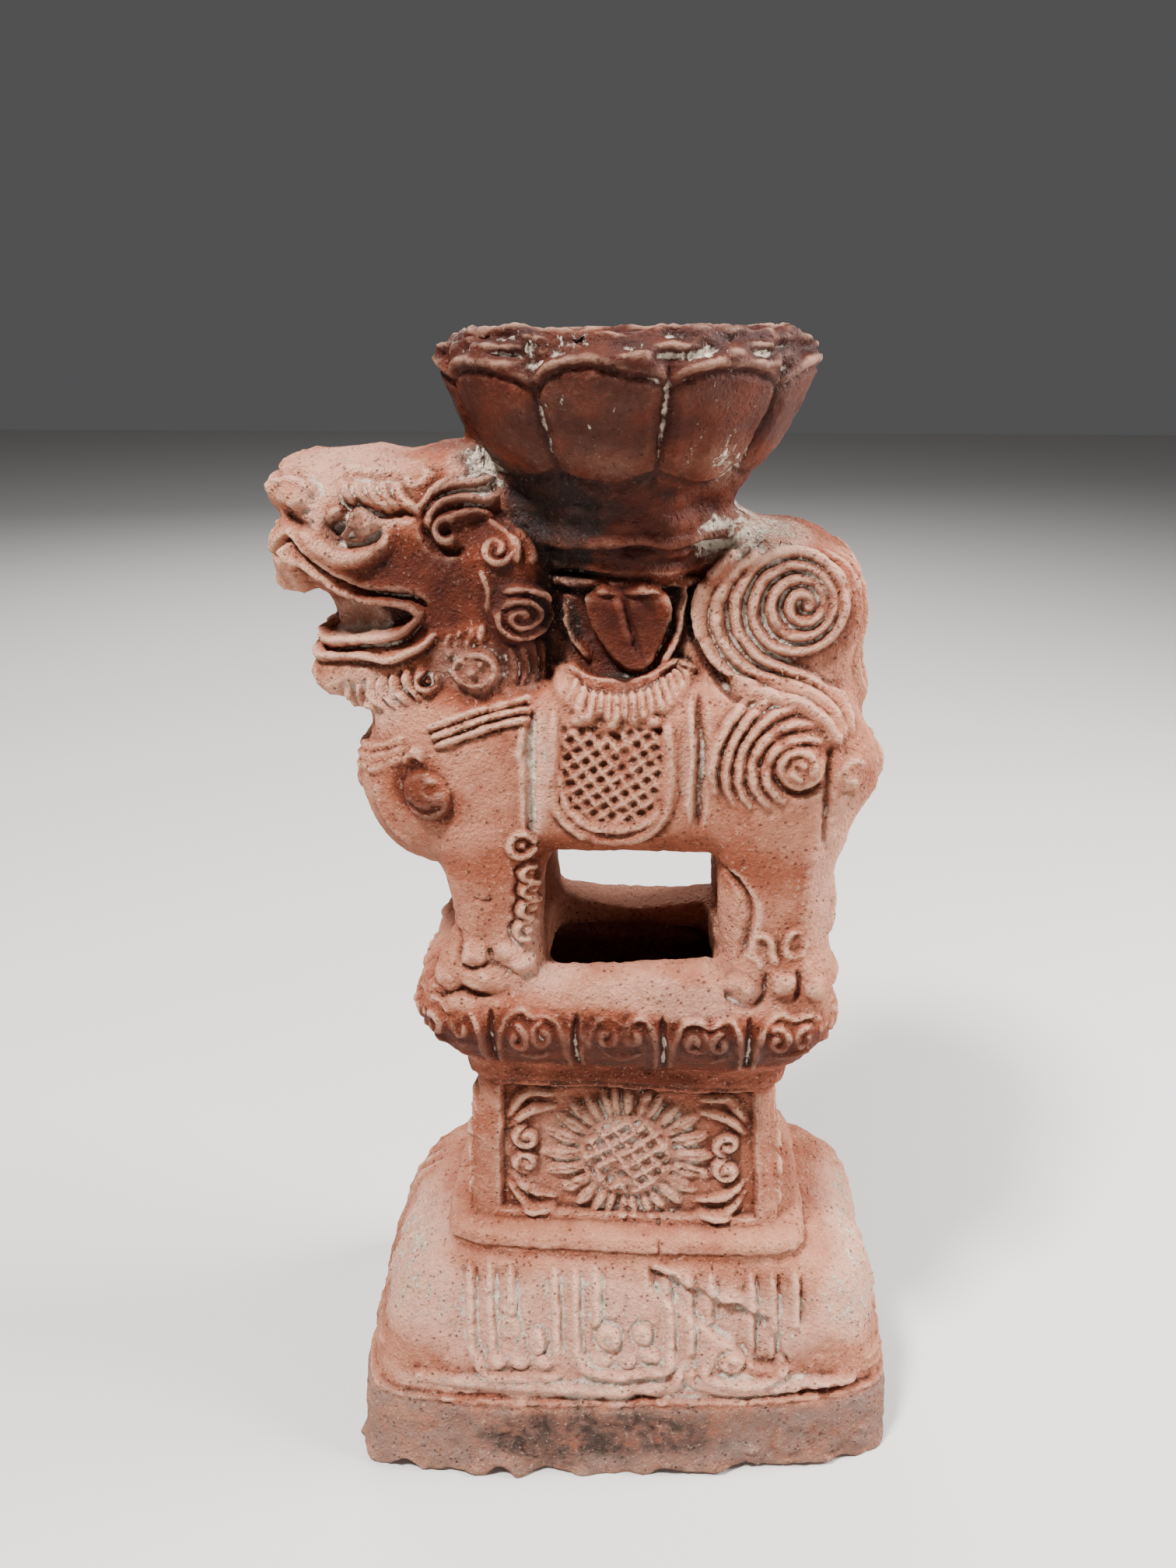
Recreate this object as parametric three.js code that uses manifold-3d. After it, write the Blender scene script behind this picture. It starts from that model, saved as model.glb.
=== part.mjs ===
// Guardian lion incense burner: a lion with a lotus cup on its back, on a hollow plinth, pressed in
// moulds and fired in one piece of terracotta. Millimetres, +Z up. The lion faces -X, and both its
// sides carry the same relief.
import * as THREE from 'three';
import { mergeVertices } from 'three/addons/utils/BufferGeometryUtils.js';
import Module from 'manifold-3d';

const wasm = await Module();
wasm.setup();

// The muzzle reaches past the foot, so the whole work is moved to stand centred on its own box.
const CENTRE_SHIFT = 3.03;

// Levels of the plinth, from the ground up.
const BAND_TOP = 20;
const SLOPE_TOP = 51;
const ROLL_TOP = 58;
const DADO_TOP = 96;
const COURSE_FOOT = 104;
const COURSE_MIDDLE = 114;
const PLINTH_TOP = 124;

// The plinth at each level: height, middle, half length, half depth, squareness, how far its long
// sides swell and by how many degrees it is turned. It leans a little, as hand-pressed work does.
const PLINTH_SECTIONS = [
  [0, 0.4, 63.8, 37.6, 12, 3.8, 4.6],
  [BAND_TOP - 1, 0.8, 62.8, 35.8, 9, 3.4, 3.6],
  [BAND_TOP + 1.5, 1, 61, 34.6, 8, 3.2, 3.4],
  [36, 2.2, 58.4, 32.2, 7, 2.4, 2.6],
  [46, 3.4, 54.8, 30, 6, 1.4, 1.6],
  [SLOPE_TOP, 3.2, 49, 28.6, 5.5, 0.8, 1],
  [SLOPE_TOP + 1.5, 1.4, 41.4, 27.4, 8, 0, 0],
  [SLOPE_TOP + 4, 1.4, 42.4, 28.2, 8, 0, 0],
  [ROLL_TOP - 0.5, 1.2, 41, 27, 9, 0, 0],
  [ROLL_TOP + 0.5, 1, 36.2, 22.6, 12, 0, 0],
  [DADO_TOP - 1, 1, 33.8, 21.2, 12, 0, 0],
  [DADO_TOP + 1, 1, 36, 23.2, 9, 0, 0],
  [DADO_TOP + 5, 1, 36.6, 23.4, 8, 0, 0],
  [COURSE_FOOT, 0.8, 41, 26, 6, 0, 0],
  [COURSE_FOOT + 5, 0.6, 44.6, 29.5, 5, 0, 0],
  [COURSE_MIDDLE, 0.4, 45.6, 30.8, 5, 0, 0],
  [PLINTH_TOP - 4, 0.4, 44.2, 28.6, 5, 0, 0],
  [PLINTH_TOP, 0.4, 40, 23, 5, 0, 0],
];

// The hollow under the plinth, and the hole that opens it between the lion's legs.
const HOLLOW_SECTIONS = [
  [-2, 0.4, 55.8, 30, 8, 3.4, 4.6],
  [BAND_TOP - 1, 0.8, 54.4, 28, 7, 3, 3.6],
  [42, 2.8, 46, 22.8, 6, 1.4, 1.6],
  [ROLL_TOP, 1, 28.4, 15, 7, 0, 0],
  [DADO_TOP + 4, 1, 27, 14, 7, 0, 0],
  [COURSE_MIDDLE - 6, 0.4, 34.5, 20, 5, 0, 0],
  [PLINTH_TOP - 8, 0.4, 34.5, 20, 5, 0, 0],
];
const TOP_HOLE = { fromX: -17, toX: 20, fromY: -19, toY: 15.5, squareness: 6 };

// The lotus cup and its stem: radius at each level, outside from the bottom up, then inside.
const CUP_X = -1.2;
const RIM_TOP = 253;
const CUP_FLOOR = 227;
const FLOOR_RADIUS = 17;
const CUP_OUTSIDE = [
  [198, 14], [207, 15.5], [210, 18.5], [213, 19.5], [217, 23.2], [222, 24.4], [231, 29.2],
  [247, 36.8], [RIM_TOP, 35.2],
];
const CUP_INSIDE = [[RIM_TOP, 32.4], [242, 29.8], [CUP_FLOOR + 0.5, FLOOR_RADIUS + 0.4]];
const FLOOR_CORNERS = 15;
const PETALS = { count: 9, rise: 1.7, ground: 0.62, phase: -0.1, from: 217, to: 250.5 };
const RIM_DROOP = { above: 240, beyond: 29, share: 0.55 };

// The lion's masses: two points in the side plane with a radius at each, the half width across,
// how boxy the section across is, and for a pair how far each stands from the middle.
const MASSES = {
  barrel: { from: [-26, 168.8], to: [28, 169.4], radii: [19.8, 19.6], half: 25, boxy: 4 },
  chest: { from: [-36.5, 163.5], to: [-34, 172], radii: [21, 18], half: 23, boxy: 2.6 },
  neck: { from: [-39, 180], to: [-35, 200], radii: [15.5, 17], half: 19, boxy: 2.6 },
  mane: { from: [-25, 208], to: [-27, 189], radii: [11, 10], half: 21, boxy: 3 },
  skull: { from: [-40, 213], to: [-56, 214], radii: [17.5, 14], half: 19, boxy: 2.6 },
  brow: { from: [-65, 223.6], to: [-52, 221.6], radii: [5.8, 8.6], half: 15, boxy: 2.6 },
  muzzle: { from: [-64.4, 209.6], to: [-52, 207], radii: [7.8, 9.5], half: 14.5, boxy: 2.6 },
  jaw: { from: [-56.2, 188.2], to: [-44, 191], radii: [9.2, 11], half: 14.5, boxy: 2.6 },
  cheek: { from: [-41, 204], to: [-41, 196], radii: [12, 12], half: 19, boxy: 2.6 },
  stem: { from: [-2, 184], to: [-1.5, 207], radii: [15, 15], half: 17, boxy: 2.4 },
  tail: { from: [30.4, 199.4], to: [37.6, 184], radii: [16.6, 10.8], half: 16, boxy: 3 },
  shoulder: { from: [-29, 164], to: [-27.5, 150], radii: [14, 11], half: 10, boxy: 2.6, apart: 15 },
  foreleg: { from: [-27, 152], to: [-26.6, 130], radii: [10, 9.4], half: 9, boxy: 2.6, apart: 16.5 },
  forepaw: { from: [-32, 124.5], to: [-24.6, 124], radii: [7.8, 8], half: 9, boxy: 2.6, apart: 18 },
  haunch: { from: [34, 168.5], to: [33, 160], radii: [17.2, 14], half: 12, boxy: 2.6, apart: 14 },
  hindleg: { from: [31.6, 156], to: [32, 130], radii: [12.4, 11.6], half: 9.5, boxy: 2.6, apart: 16 },
  nearRim: { from: [-14, 118], to: [17, 121], radii: [7, 7.6], half: 5.5, boxy: 2.4, at: -23.5 },
  hindpaw: { from: [30, 124.5], to: [36.6, 124], radii: [8, 8.2], half: 9.5, boxy: 2.6, apart: 17.5 },
};
const TAIL_DISC = { x: 30.4, z: 199.8, flat: 13.6, radius: 15.6, half: 17, edge: 3 };
const BLEND = 4;
const NET_CELL = [6.8, 35 / 6, 6.8];
const LION_BOX = { low: [-79, -35, 103], high: [60, 35, 240] };

const CLAY = new THREE.MeshStandardMaterial({ color: 0xb5674a, roughness: 0.92, metalness: 0 });

// A geometry with its shared corners merged becomes a solid that can be joined and cut.
function solid(geometry) {
  const bare = geometry.index ? geometry.toNonIndexed() : geometry.clone();
  for (const name of Object.keys(bare.attributes)) {
    if (name !== 'position') bare.deleteAttribute(name);
  }
  const merged = mergeVertices(bare, 1e-4);
  const corners = merged.index.array;
  const kept = [];
  for (let i = 0; i < corners.length; i += 3) {
    const [a, b, c] = [corners[i], corners[i + 1], corners[i + 2]];
    if (a !== b && b !== c && c !== a) kept.push(a, b, c);
  }
  return new wasm.Manifold(new wasm.Mesh({
    numProp: 3,
    vertProperties: new Float32Array(merged.attributes.position.array),
    triVerts: new Uint32Array(kept),
  }));
}

function geometryOf(body) {
  const mesh = body.getMesh();
  const geometry = new THREE.BufferGeometry();
  const points = new Float32Array(mesh.numVert * 3);
  for (let i = 0; i < mesh.numVert; i += 1) {
    for (let k = 0; k < 3; k += 1) points[3 * i + k] = mesh.vertProperties[i * mesh.numProp + k];
  }
  geometry.setAttribute('position', new THREE.BufferAttribute(points, 3));
  geometry.setIndex(new THREE.BufferAttribute(new Uint32Array(mesh.triVerts), 1));
  return geometry;
}

function indexedGeometry(points, triangles) {
  const geometry = new THREE.BufferGeometry();
  geometry.setAttribute('position', new THREE.Float32BufferAttribute(points.flat(), 3));
  geometry.setIndex(triangles.flat());
  return geometry;
}

// A rounded rectangle: a superellipse whose squareness sets how sharp its corners are.
function outlinePoint([middle, halfLength, halfDepth, squareness, swell = 0, turn = 0], angle) {
  const bend = (v) => Math.sign(v) * Math.abs(v) ** (2 / squareness);
  const [c, s] = [bend(Math.cos(angle)), bend(Math.sin(angle))];
  const turned = THREE.MathUtils.degToRad(turn);
  const x = halfLength * c;
  const y = halfDepth * s + swell * s * (1 - c * c);
  return [
    middle + x * Math.cos(turned) - y * Math.sin(turned),
    x * Math.sin(turned) + y * Math.cos(turned),
  ];
}

// A solid with a rounded rectangle at each level, joined by straight walls.
function loft(sections, around) {
  const points = [];
  const triangles = [];
  for (const [z, ...outline] of sections) {
    for (let i = 0; i < around; i += 1) {
      const angle = (2 * Math.PI * (i + 0.5)) / around;
      points.push([...outlinePoint(outline, angle), z]);
    }
  }
  for (let level = 0; level + 1 < sections.length; level += 1) {
    for (let i = 0; i < around; i += 1) {
      const a = level * around + i;
      const b = level * around + ((i + 1) % around);
      triangles.push([a, b, b + around], [a, b + around, a + around]);
    }
  }
  const lastRow = (sections.length - 1) * around;
  const bottom = points.push([sections[0][1], 0, sections[0][0]]) - 1;
  const top = points.push([sections.at(-1)[1], 0, sections.at(-1)[0]]) - 1;
  for (let i = 0; i < around; i += 1) {
    const next = (i + 1) % around;
    triangles.push([bottom, next, i], [top, lastRow + i, lastRow + next]);
  }
  return solid(indexedGeometry(points, triangles));
}

// The plinth's outline at any height, as in its sections.
function plinthAt(z) {
  const above = PLINTH_SECTIONS.findIndex((section) => section[0] >= z);
  if (above <= 0) return PLINTH_SECTIONS[0].slice(1);
  const low = PLINTH_SECTIONS[above - 1];
  const high = PLINTH_SECTIONS[above];
  const t = (z - low[0]) / (high[0] - low[0]);
  return low.slice(1).map((v, k) => v + t * (high[k + 1] - v));
}

// The lion's masses run together as wet clay does: negative inside, positive outside.
function massDistance(mass, x, y, z) {
  const [fromX, fromZ] = mass.from;
  const alongX = mass.to[0] - fromX;
  const alongZ = mass.to[1] - fromZ;
  const fromMiddle = mass.at === undefined ? Math.abs(y) - (mass.apart ?? 0) : y - mass.at;
  const across = Math.abs(fromMiddle) / mass.half;
  const share = ((x - fromX) * alongX + (z - fromZ) * alongZ) / (alongX ** 2 + alongZ ** 2);
  const t = Math.min(1, Math.max(0, share));
  const radius = mass.radii[0] + t * (mass.radii[1] - mass.radii[0]);
  const reach = Math.hypot(x - fromX - t * alongX, z - fromZ - t * alongZ) / radius;
  return radius * ((reach ** mass.boxy + across ** mass.boxy) ** (1 / mass.boxy) - 1);
}

function lionField(x, y, z) {
  let distance = Infinity;
  for (const mass of Object.values(MASSES)) {
    const next = massDistance(mass, x, y, z);
    if (distance === Infinity) {
      distance = next;
    } else {
      const h = Math.max(BLEND - Math.abs(distance - next), 0) / BLEND;
      distance = Math.min(distance, next) - (h * h * BLEND) / 4;
    }
  }
  return distance;
}

function slopeOf(field, [x, y, z]) {
  const e = 0.05;
  return [
    (field(x + e, y, z) - field(x - e, y, z)) / (2 * e),
    (field(x, y + e, z) - field(x, y - e, z)) / (2 * e),
    (field(x, y, z + e) - field(x, y, z - e)) / (2 * e),
  ];
}

// The skin of a field as a net: one point in each cell that the skin crosses, drawn onto the skin,
// and one four-sided patch for each grid edge that it crosses.
function surfaceNet(field, { low, high }, cell) {
  const counts = low.map((v, k) => Math.ceil((high[k] - v) / cell[k]) + 1);
  const at = (i, j, k) => (k * counts[1] + j) * counts[0] + i;
  const values = new Float64Array(counts[0] * counts[1] * counts[2]);
  for (let k = 0; k < counts[2]; k += 1) {
    for (let j = 0; j < counts[1]; j += 1) {
      for (let i = 0; i < counts[0]; i += 1) {
        values[at(i, j, k)] = field(low[0] + i * cell[0], low[1] + j * cell[1], low[2] + k * cell[2]);
      }
    }
  }
  const corners = [0, 1, 2, 3, 4, 5, 6, 7].map((c) => [c & 1, (c >> 1) & 1, (c >> 2) & 1]);
  const edges = [];
  for (let a = 0; a < 8; a += 1) {
    for (const bit of [1, 2, 4]) if (!(a & bit)) edges.push([a, a | bit]);
  }
  const points = [];
  const pointOfCell = new Map();
  const pointIn = (i, j, k) => {
    const key = at(i, j, k);
    if (pointOfCell.has(key)) return pointOfCell.get(key);
    const sum = [0, 0, 0];
    let crossings = 0;
    for (const [a, b] of edges) {
      const [p, q] = [corners[a], corners[b]];
      const va = values[at(i + p[0], j + p[1], k + p[2])];
      const vb = values[at(i + q[0], j + q[1], k + q[2])];
      if (va < 0 !== vb < 0) {
        const t = va / (va - vb);
        for (let n = 0; n < 3; n += 1) sum[n] += p[n] + t * (q[n] - p[n]);
        crossings += 1;
      }
    }
    let point = [i, j, k].map((v, n) => low[n] + (v + sum[n] / crossings) * cell[n]);
    for (let pull = 0; pull < 2; pull += 1) {
      const slope = slopeOf(field, point);
      const size = slope[0] ** 2 + slope[1] ** 2 + slope[2] ** 2;
      const gap = field(...point);
      point = point.map((v, n) => v - Math.max(-1, Math.min(1, (gap * slope[n]) / size)));
    }
    pointOfCell.set(key, points.push(point) - 1);
    return pointOfCell.get(key);
  };
  const triangles = [];
  for (let k = 1; k + 1 < counts[2]; k += 1) {
    for (let j = 1; j + 1 < counts[1]; j += 1) {
      for (let i = 1; i + 1 < counts[0]; i += 1) {
        const here = values[at(i, j, k)] < 0;
        const rings = [
          [[1, 0, 0], [[0, 0, 0], [0, -1, 0], [0, -1, -1], [0, 0, -1]]],
          [[0, 1, 0], [[0, 0, 0], [0, 0, -1], [-1, 0, -1], [-1, 0, 0]]],
          [[0, 0, 1], [[0, 0, 0], [-1, 0, 0], [-1, -1, 0], [0, -1, 0]]],
        ];
        for (const [step, ring] of rings) {
          const there = values[at(i + step[0], j + step[1], k + step[2])] < 0;
          if (here !== there) {
            const quad = ring.map(([di, dj, dk]) => pointIn(i + di, j + dj, k + dk));
            if (!here) quad.reverse();
            triangles.push([quad[0], quad[1], quad[2]], [quad[0], quad[2], quad[3]]);
          }
        }
      }
    }
  }
  return indexedGeometry(points, triangles);
}

// How far out the lion's side stands at a place in the side plane.
function sideAt(x, z) {
  const fromTail = Math.hypot(x - TAIL_DISC.x, z - TAIL_DISC.z);
  if (fromTail < TAIL_DISC.flat) return TAIL_DISC.half;
  for (let y = 34; y > 0; y -= 0.25) {
    if (lionField(x, y, z) < 0) return y;
  }
  return 0;
}

// A ridge of clay along a path: a bar with a diamond section, half sunk in the surface.
const STRAND = { width: 2.8, rise: 1.5 };
const CURL_LINE = { width: 2.5, rise: 1.4 };
const CORD = { width: 2.6, rise: 1.4 };
const TUFT = { width: 2.8, rise: 1.4 };
const ROLL = { width: 2.9, rise: 1.7 };
const FLANK_SINK = 0.2;
function ridge(places, { width, rise }, steps) {
  const path = new THREE.CatmullRomCurve3(places.map((p) => new THREE.Vector3(...p)));
  const section = new THREE.Shape([
    new THREE.Vector2(rise, 0), new THREE.Vector2(0, width / 2),
    new THREE.Vector2(-rise, 0), new THREE.Vector2(0, -width / 2),
  ]);
  return solid(new THREE.ExtrudeGeometry(section, { extrudePath: path, steps, bevelEnabled: false }));
}

// A ridge on the flanks, from a path in the side plane. The near flank is the -Y one; the far one
// is finished more plainly.
const NEAR = [-1];
const BOTH = [-1, 1];
function flankRidge(path, kind, steps, sides = BOTH) {
  return sides.map((side) => ridge(
    path.map(([x, z]) => [x, side * (sideAt(x, z) - FLANK_SINK), z]), kind, steps,
  ));
}

function arcPath([x, z], radius, fromDegrees, toDegrees, count, growth = 0) {
  return Array.from({ length: count + 1 }, (_, i) => {
    const t = i / count;
    const angle = THREE.MathUtils.degToRad(fromDegrees + t * (toDegrees - fromDegrees));
    const r = radius + growth * t;
    return [x + r * Math.cos(angle), z + r * Math.sin(angle)];
  });
}

// The plinth's hollow leaves walls of true thickness and opens between the lion's legs.
function makeHollow() {
  const hole = [
    (TOP_HOLE.fromX + TOP_HOLE.toX) / 2, (TOP_HOLE.toX - TOP_HOLE.fromX) / 2,
    (TOP_HOLE.toY - TOP_HOLE.fromY) / 2, TOP_HOLE.squareness,
  ];
  const shaft = loft([[PLINTH_TOP - 12, ...hole], [PLINTH_TOP + 6, ...hole]], 20);
  return loft(HOLLOW_SECTIONS, 20).add(shaft.translate([0, (TOP_HOLE.fromY + TOP_HOLE.toY) / 2, 0]));
}

// Blend two paths with as many points: the strands of the tail lie between its two edges.
function between(first, second, share) {
  return first.map((p, i) => [0, 1].map((k) => p[k] + share * (second[i][k] - p[k])));
}

// The curled tail: a flat disc with a spiral, and strands that sweep round it down to the rump.
const TAIL_EYE = [34, 201.2];
const TAIL_SPIRAL = { start: 1.6, growth: 8.2, fromDegrees: 20, toDegrees: 640 };
const TAIL_OUTER = [
  [32, 216], [22, 213.6], [15, 206.5], [14.6, 197], [19.5, 189.2], [29, 184.2], [38, 180], [43, 173.5],
];
const TAIL_INNER = [
  [38, 213.2], [29.5, 211], [23.8, 205.4], [24, 198], [28.6, 192.6], [36, 189.6], [42, 185.6], [45.6, 178.5],
];
function makeTail() {
  const { x, z, flat, radius, half, edge } = TAIL_DISC;
  const outline = [
    [0, -half], [flat, -half], [radius, edge - half], [radius, half - edge], [flat, half], [0, half],
  ];
  const disc = new THREE.LatheGeometry(outline.map((p) => new THREE.Vector2(...p)), 16);
  disc.translate(x, 0, z);
  const { start, growth, fromDegrees, toDegrees } = TAIL_SPIRAL;
  const spiral = arcPath(TAIL_EYE, start, fromDegrees, toDegrees, 26, growth);
  return [
    solid(disc), ...flankRidge(spiral, CURL_LINE, 16),
    ...flankRidge(between(TAIL_OUTER, TAIL_INNER, 0.3), STRAND, 6, NEAR),
    ...flankRidge(TAIL_INNER, STRAND, 6, NEAR),
  ];
}

// The curl on the haunch, open toward the back.
const HIP_EYE = [34.6, 172];
const HIP_SPIRAL = { start: 1.4, growth: 6.4, toDegrees: 520 };
const HIP_ARCS = [{ radius: 12.4, from: 70, to: 250 }, { radius: 16.2, from: 75, to: 225 }];
function makeHip() {
  const spiral = arcPath(HIP_EYE, HIP_SPIRAL.start, 0, HIP_SPIRAL.toDegrees, 20, HIP_SPIRAL.growth);
  const arcs = HIP_ARCS.flatMap(({ radius, from, to }) => (
    flankRidge(arcPath(HIP_EYE, radius, from, to, 8), STRAND, 5, NEAR)
  ));
  return [...flankRidge(spiral, CURL_LINE, 13), ...arcs];
}

// Two raised cords of the collar, and the bell that hangs from it.
const COLLAR = [[-52, 171.5], [-45.5, 174.6], [-36.5, 178.4], [-27.5, 181.6], [-18.5, 184]];
const COLLAR_DROP = 3.6;
const BELL = { place: [-38.9, 166.4], radius: 5.4 };
function makeCollar() {
  const lower = COLLAR.map(([x, z]) => [x, z - COLLAR_DROP]);
  return [...flankRidge(COLLAR, CORD, 4), ...flankRidge(lower, CORD, 4, NEAR), ...boss(BELL, 8, 5)];
}

// A round boss on each flank, sunk by a third of its radius.
const BOSS_SINK = 0.35;
function boss({ place: [x, z], radius }, around, rings) {
  return BOTH.map((side) => {
    const ball = new THREE.SphereGeometry(radius, around, rings);
    ball.translate(x, side * (sideAt(x, z) - radius * BOSS_SINK), z);
    return solid(ball);
  });
}

// The face: bulging eye, brow tufts, the two lips and the ear.
const EYE = { place: [-51.6, 216.4], radius: 4.4 };
const LIP = [[-64, 213.6], [-59, 208.9], [-53.6, 205], [-47.5, 203.4], [-42, 202.2], [-39.6, 199.6]];
const LOWER_LIP = [[-62, 191.6], [-54.5, 192.2], [-47, 194.6], [-42, 198], [-39.6, 199.6]];
const EYE_BAG = arcPath(EYE.place, 7, 165, 350, 6);
const BROW = { start: [-53.5, 222.6], tufts: 4, apart: 3.8, top: 2.4, run: 3.2, foot: -1.6 };
const EAR = [[-38.6, 219.6], [-35.8, 222.6], [-30.5, 224.2], [-24.5, 224], [-20.5, 226.4]];
const EAR_HOLE = { place: [-34.4, 214.8], radius: 4.6 };
function makeFace() {
  const tufts = Array.from({ length: BROW.tufts }, (_, i) => {
    const [x, z] = [BROW.start[0] + i * BROW.apart, BROW.start[1]];
    return flankRidge([[x, z + BROW.top], [x + BROW.run, z + BROW.foot]], TUFT, 1, NEAR);
  });
  const earRing = arcPath(EAR_HOLE.place, EAR_HOLE.radius, -70, 200, 8);
  return [
    ...boss(EYE, 8, 5), ...flankRidge(EYE_BAG, CORD, 5, NEAR), ...tufts.flat(),
    ...flankRidge(LIP, ROLL, 4), ...flankRidge(LOWER_LIP, ROLL, 3),
    ...flankRidge(EAR, ROLL, 3, NEAR), ...flankRidge(earRing, CORD, 5, NEAR),
  ];
}

// Snail curls of the mane and beard, and the ring of hair on the foreleg.
const CURLS = [
  [[-21.4, 201.6], 5.4], [[-29.4, 190.6], 4.6], [[-38.4, 187], 3], [[-24, 213], 4], [[-20.4, 153.6], 2.8],
];
const BEARD = { start: [-53.4, 186.4], locks: 4, apart: 3.6, top: 2.2, run: 1.4, foot: -3.6 };
function makeCurls() {
  const beard = Array.from({ length: BEARD.locks }, (_, i) => {
    const [x, z] = [BEARD.start[0] + i * BEARD.apart, BEARD.start[1]];
    return flankRidge([[x, z + BEARD.top], [x + BEARD.run, z + BEARD.foot]], TUFT, 1, NEAR);
  });
  const snails = CURLS.flatMap(([place, radius]) => boss({ place, radius }, 6, 4));
  return [...beard.flat(), ...snails];
}

// The saddle cloth: a plate with a rounded foot, its piped edge, its lattice and the fringe above.
const CLOTH = { middle: -2.4, half: 11.4, top: 186, foot: 157.2, corner: 8, face: 25.6, thick: 6 };
const FRINGE = { centre: [-1.6, 197.4], radius: 11, from: 200, to: 340, tassels: 9, inner: 12, outer: 16 };
function makeSaddle() {
  const { middle, half, top, foot, corner, face, thick } = CLOTH;
  const left = arcPath([middle - half + corner, foot + corner], corner, 180, 270, 3);
  const right = arcPath([middle + half - corner, foot + corner], corner, 270, 360, 3);
  const edge = [[middle - half, top], ...left, ...right, [middle + half, top]];
  const outline = new THREE.Shape(edge.map(([x, z]) => new THREE.Vector2(x, z)));
  const plates = BOTH.map((side) => {
    const plate = new THREE.ExtrudeGeometry(outline, { depth: thick, bevelEnabled: false });
    plate.rotateX(Math.PI / 2);
    plate.translate(0, side < 0 ? thick - face : face, 0);
    return solid(plate);
  });
  const { centre, radius, from, to, tassels, inner, outer } = FRINGE;
  const fringe = Array.from({ length: tassels }, (_, i) => {
    const angle = THREE.MathUtils.degToRad(from + ((to - from) * (i + 0.3)) / (tassels - 0.4));
    const [c, s] = [Math.cos(angle), Math.sin(angle)];
    return flankRidge([inner, outer].map((r) => [centre[0] + r * c, centre[1] + r * s]), ROLL, 1, NEAR);
  });
  const band = flankRidge(arcPath(centre, radius, from, to, 8), ROLL, 5, NEAR);
  return [...plates, ...fringe.flat(), ...band];
}

// A leaf hangs on the stem, pointing down.
const LEAF = { middle: -0.8, top: 206.5, half: 7.6, height: 17.5, face: 19, thick: 8 };
const LEAF_EDGE = [
  [0, 0.09], [-0.6, 0], [-1, 0.23], [-0.7, 0.6], [0.1, 1], [0.8, 0.6], [1, 0.23], [0.6, 0],
];
function makeLeaf() {
  const { middle, top, half, height, face, thick } = LEAF;
  const outline = new THREE.Shape(
    LEAF_EDGE.map(([x, z]) => new THREE.Vector2(middle + half * x, top - height * z)),
  );
  const leaf = new THREE.ExtrudeGeometry(outline, { depth: thick, bevelEnabled: false });
  leaf.rotateX(Math.PI / 2);
  leaf.translate(0, thick - face, 0);
  return [solid(leaf)];
}

// The course under the paws is parted into panels by upright grooves, five on a long side and three
// on an end.
const GROOVE = { from: COURSE_FOOT + 1, to: PLINTH_TOP - 1, width: 2.4, depth: 1.5 };
const GROOVES_ALONG = [-26.4, -8.8, 8.8, 26.4];
const GROOVES_ACROSS = [-8.5, 8.5];
function makeGrooves() {
  const [middle, halfLength, halfDepth, squareness] = plinthAt(COURSE_MIDDLE);
  const groove = (x, y) => {
    const bar = new THREE.CylinderGeometry(GROOVE.width / 2, GROOVE.width / 2, GROOVE.to - GROOVE.from, 4);
    bar.rotateX(Math.PI / 2);
    bar.translate(x, y, (GROOVE.from + GROOVE.to) / 2);
    return solid(bar);
  };
  const sunk = GROOVE.width / 2 - GROOVE.depth;
  const along = GROOVES_ALONG.flatMap((x) => BOTH.map((side) => {
    const edge = halfDepth * (1 - Math.abs(x / halfLength) ** squareness) ** (1 / squareness);
    return groove(middle + x, side * (edge + sunk));
  }));
  const across = GROOVES_ACROSS.flatMap((y) => BOTH.map((side) => (
    groove(middle + side * (halfLength + sunk), y)
  )));
  return [...along, ...across];
}

// The far rim of the plinth's top is worn down into a dip.
const DIP = { x: 2, lowest: 120.6, radius: 42, fromY: 12, length: 30 };
function makeDip() {
  const scoop = new THREE.CylinderGeometry(DIP.radius, DIP.radius, DIP.length, 32);
  scoop.translate(DIP.x, DIP.fromY + DIP.length / 2, DIP.lowest + DIP.radius);
  return solid(scoop);
}

// The sunflower on the long sides of the dado, in a sunk panel between plain uprights.
const PANEL = { height: 77, halfWidth: 29, halfHeight: 17.5, depth: 1.6, cutter: 4 };
const FLOWER = {
  x: 1.7, z: 75.2, disc: 9.6, notch: 11.6, reach: 17.6, petals: 18, petalRise: 1.2, rise: 2.4, thick: 2.4,
};
function makePanels() {
  const [middle, , halfDepth] = plinthAt(PANEL.height);
  return BOTH.map((side) => {
    const box = new THREE.BoxGeometry(PANEL.halfWidth * 2, PANEL.cutter, PANEL.halfHeight * 2);
    box.translate(middle, side * (halfDepth + PANEL.cutter / 2 - PANEL.depth), PANEL.height);
    return solid(box);
  });
}

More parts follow.
